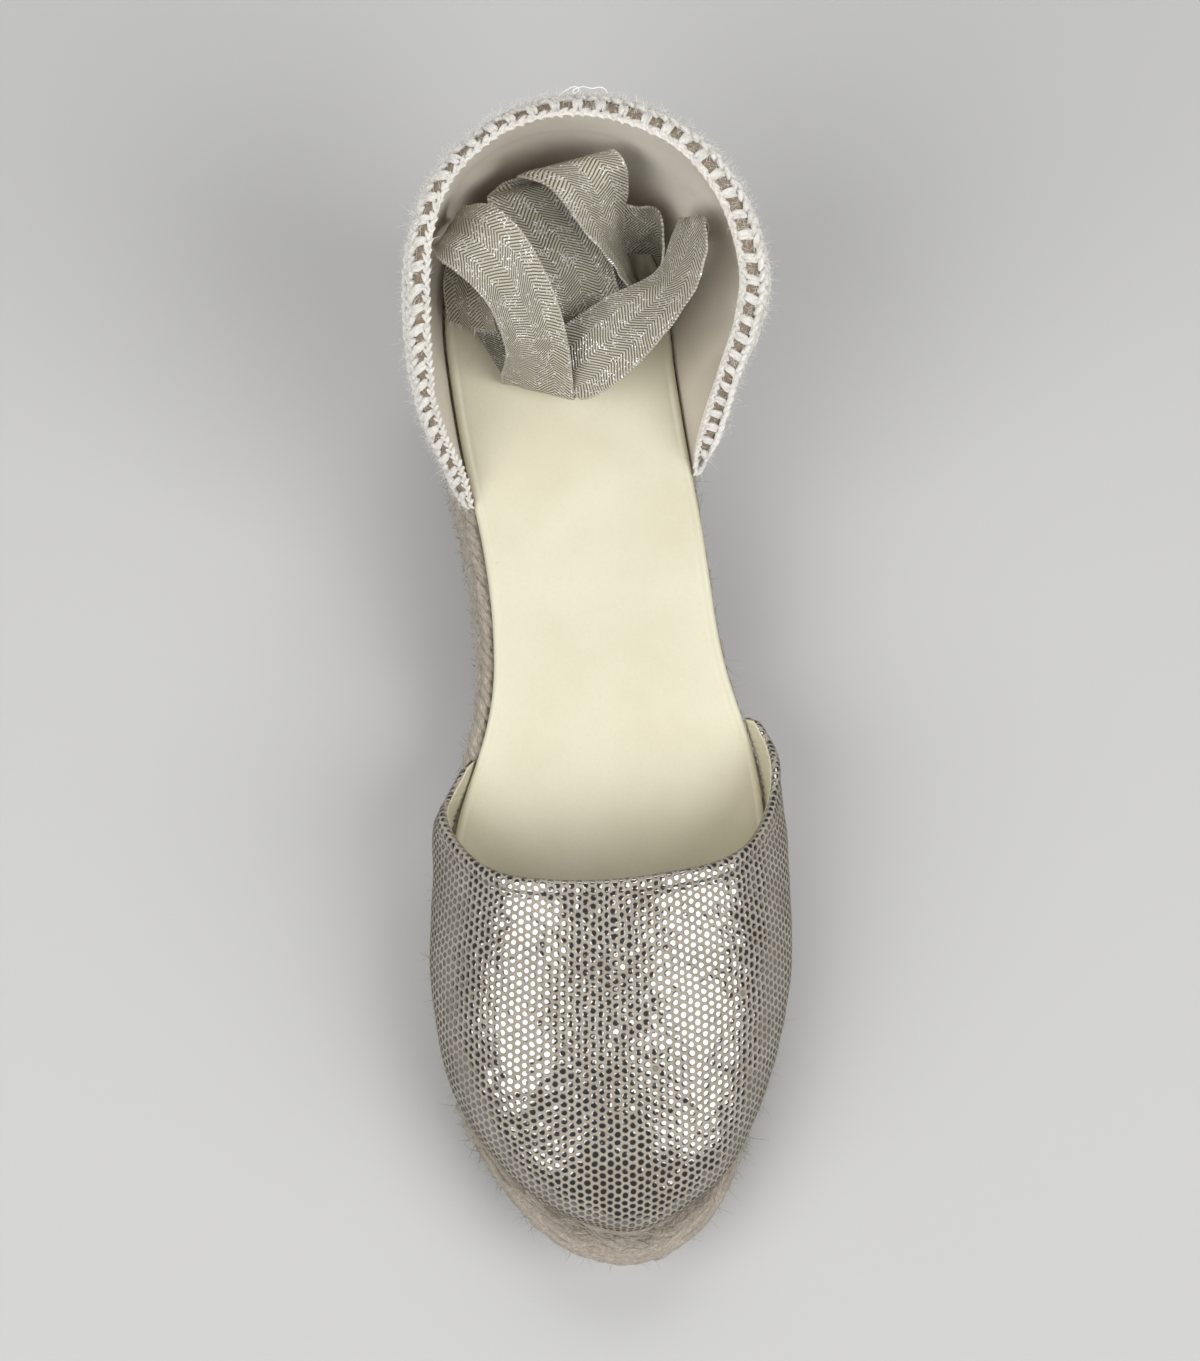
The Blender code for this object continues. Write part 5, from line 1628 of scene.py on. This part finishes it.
# ---------------------------------------------------------------- ankle ties
def build_tie_look(name, node, bends, flat_rows, ends, seed):
    parts = []
    if bends:
        parts.append(spline(bends, 12))
    rows = np.array(flat_rows)
    fine = [rows[:1]]
    for a, b in zip(rows, rows[1:]):
        count = max(1, int(np.linalg.norm((b - a)[:3]) / 1.4))
        fine.append(a + (b - a) * (np.arange(1, count + 1) / count)[:, None])
    parts.append(np.concatenate(fine))
    if ends:
        parts.append(spline(ends, 12))
    edges = np.vstack(parts)
    a, b = edges[:, :3], edges[:, 3:]
    middle = (a + b) / 2
    keep = np.concatenate([[True], np.linalg.norm(np.diff(middle, axis=0), axis=1) > 0.08])
    a, b, middle = a[keep], b[keep], middle[keep]
    far = np.concatenate([[0], np.cumsum(np.linalg.norm(np.diff(middle, axis=0), axis=1))])
    along = unit(np.gradient(middle, axis=0))
    face = unit(np.cross(along, b - a))
    cross = 14
    t = np.linspace(0, 1, cross + 1)
    sheet = a[:, None] + (b - a)[:, None] * t[None, :, None]
    calm = np.ones(len(a))
    loose = len(parts[0]) if bends else 0
    calm[loose:] = 0.12
    cup = -0.35 * (1 - (2 * t - 1) ** 2)
    wave = 0.15 * waves(sheet, 8.0, seed) + 0.05 * waves(sheet, 3.0, seed + 1)
    sheet = sheet + face[:, None] * ((cup[None] * 0.6 + wave) * calm[:, None])[..., None]
    # the front fold lies aslant on the footbed
    slant = np.interp(sheet[..., 0], (-14.4, 1.8, 18, 32), (2.3, -1.7, -1.0, 0.0))
    sheet[..., 1] += slant * (1 - smooth(194, 213, sheet[..., 1]))
    face = grid_normals(sheet) * np.sign((grid_normals(sheet)[len(a) // 2, 7] * face[len(a) // 2]).sum())
    thick = 0.48
    face = face.reshape(len(a), cross + 1, 3)
    top, bottom = sheet + face * thick / 2, sheet - face * thick / 2
    rows, cols = sheet.shape[:2]
    points = np.concatenate([top.reshape(-1, 3), bottom.reshape(-1, 3)])
    count = rows * cols
    faces = np.concatenate([grid_faces(rows, cols), grid_faces(rows, cols, count, flip=True)]).tolist()
    for i in range(rows - 1):
        for side in (0, cols - 1):
            p, q = i * cols + side, (i + 1) * cols + side
            quad = [p, q, q + count, p + count]
            faces.append(quad[::-1] if side == 0 else quad)
    for j in range(cols - 1):
        for row in (0, rows - 1):
            p, q = row * cols + j, row * cols + j + 1
            quad = [p, q, q + count, p + count]
            faces.append(quad if row == 0 else quad[::-1])
    uv = np.zeros((2, rows, cols, 2))
    uv[..., 0] = t * TIE_WIDTH
    uv[..., 1] = far[None, :, None]
    tie = make(name, points, faces, [RIBBON_LOOK], uv=uv.reshape(-1, 2), sharp=60)
    recalc(tie)
    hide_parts(node)
    if ends:
        rng = np.random.default_rng(seed)
        spot = rng.uniform(0.02, 0.98, 46)
        root = sheet[-1, 0] + (sheet[-1, -1] - sheet[-1, 0]) * spot[:, None]
        way = unit(sheet[-1, 7] - sheet[-3, 7]) + rng.normal(scale=0.25, size=(46, 3))
        ravel = hairs(name + "_ravel", root, way, rng.uniform(0.8, 2.6, 46), 0.17, 0.8, COTTON_HAIR, seed, 4)
    return a, b, face, far


# ---------------------------------------------------------------- all pieces
build_jute_look()
build_insole_look()
build_vamp_look()
build_counter_look()
build_tie_look(
    "tie_medial_ribbon", "tie_medial", tie_edges(TIE_MEDIAL), lengthwise_folds(*TIE_MEDIAL_STACK), tie_edges(TIE_MEDIAL_END), 61
)
build_tie_look(
    "tie_lateral_ribbon", "tie_lateral", tie_edges(TIE_LATERAL), crosswise_folds(*TIE_LATERAL_STACK), None, 67
)


# ---------------------------------------------------------------- floor, light and camera
def build_stage():
    mesh = bpy.data.meshes.new("floor")
    mesh.from_pydata([(-4, -4, 0), (4, -4, 0), (4, 4, 0), (-4, 4, 0)], [], [(0, 1, 2, 3)])
    floor = bpy.data.objects.new("floor", mesh)
    bpy.context.scene.collection.objects.link(floor)
    look = Look("floor_paint")
    p = look.position(1.0)
    look.set(Base_Color=look.mix(look.band(look.noise(p, 0.9, 2), 0.3, 0.7), (0.47, 0.47, 0.47), (0.45, 0.45, 0.45)), Roughness=0.75)
    mesh.materials.append(look.material)

    world = bpy.data.worlds.new("studio")
    world.use_nodes = True
    world.node_tree.nodes["Background"].inputs[0].default_value = (0.97, 0.98, 1.0, 1)
    world.node_tree.nodes["Background"].inputs[1].default_value = 0.13
    bpy.context.scene.world = world

    def panel(name, place, aim, width, depth, power, colour=(1, 1, 1)):
        data = bpy.data.lights.new(name, "AREA")
        data.shape, data.size, data.size_y = "RECTANGLE", width, depth
        data.energy, data.color = power, colour
        lamp = bpy.data.objects.new(name, data)
        bpy.context.scene.collection.objects.link(lamp)
        way = Vector(aim) - Vector(place)
        lamp.matrix_world = Matrix.Translation(Vector(place)) @ way.to_track_quat("-Z", "Y").to_matrix().to_4x4()

    # two long panels, left and right of the toe, and a weak one behind the heel
    panel("panel_inner", (-0.62, -0.34, 0.72), (0, -0.03, 0.03), 0.78, 0.9, 8.6, (1.0, 0.995, 0.985))
    panel("panel_outer", (0.60, -0.42, 0.74), (0, -0.03, 0.03), 0.8, 0.9, 9.0, (1.0, 0.995, 0.985))
    panel("panel_back", (0.1, 1.0, 1.25), (0, 0.0, 0.05), 1.2, 0.8, 9.0, (1.0, 0.99, 0.975))


def build_camera():
    place = Vector((-0.04714, -0.10216, 0.612))
    forward = Vector((0.0154, 0.2244, -0.9744)).normalized()
    right = Vector((0.9976, -0.0686, 0.0)).normalized()
    up = right.cross(forward)
    # the photo's own camera, turned to the middle of the shoe and zoomed in
    aim = (forward * 2000 + right * (738 - 600) - up * (738 - 680.5)).normalized()
    side = (right - aim * right.dot(aim)).normalized()
    top = side.cross(aim)
    data = bpy.data.cameras.new("photo_view")
    data.sensor_fit = "VERTICAL"
    data.sensor_height = 36.0
    data.sensor_width = 36.0 * 1200 / 1361
    data.lens = 2000 * 36 / 1361 * 1.25
    data.clip_start, data.clip_end = 0.02, 30
    camera = bpy.data.objects.new("photo_view", data)
    bpy.context.scene.collection.objects.link(camera)
    camera.matrix_world = Matrix((side, top, -aim)).transposed().to_4x4()
    camera.matrix_world.translation = place
    bpy.context.scene.camera = camera


build_stage()
build_camera()
bpy.context.scene.view_settings.view_transform = "Standard"
bpy.context.view_layer.update()
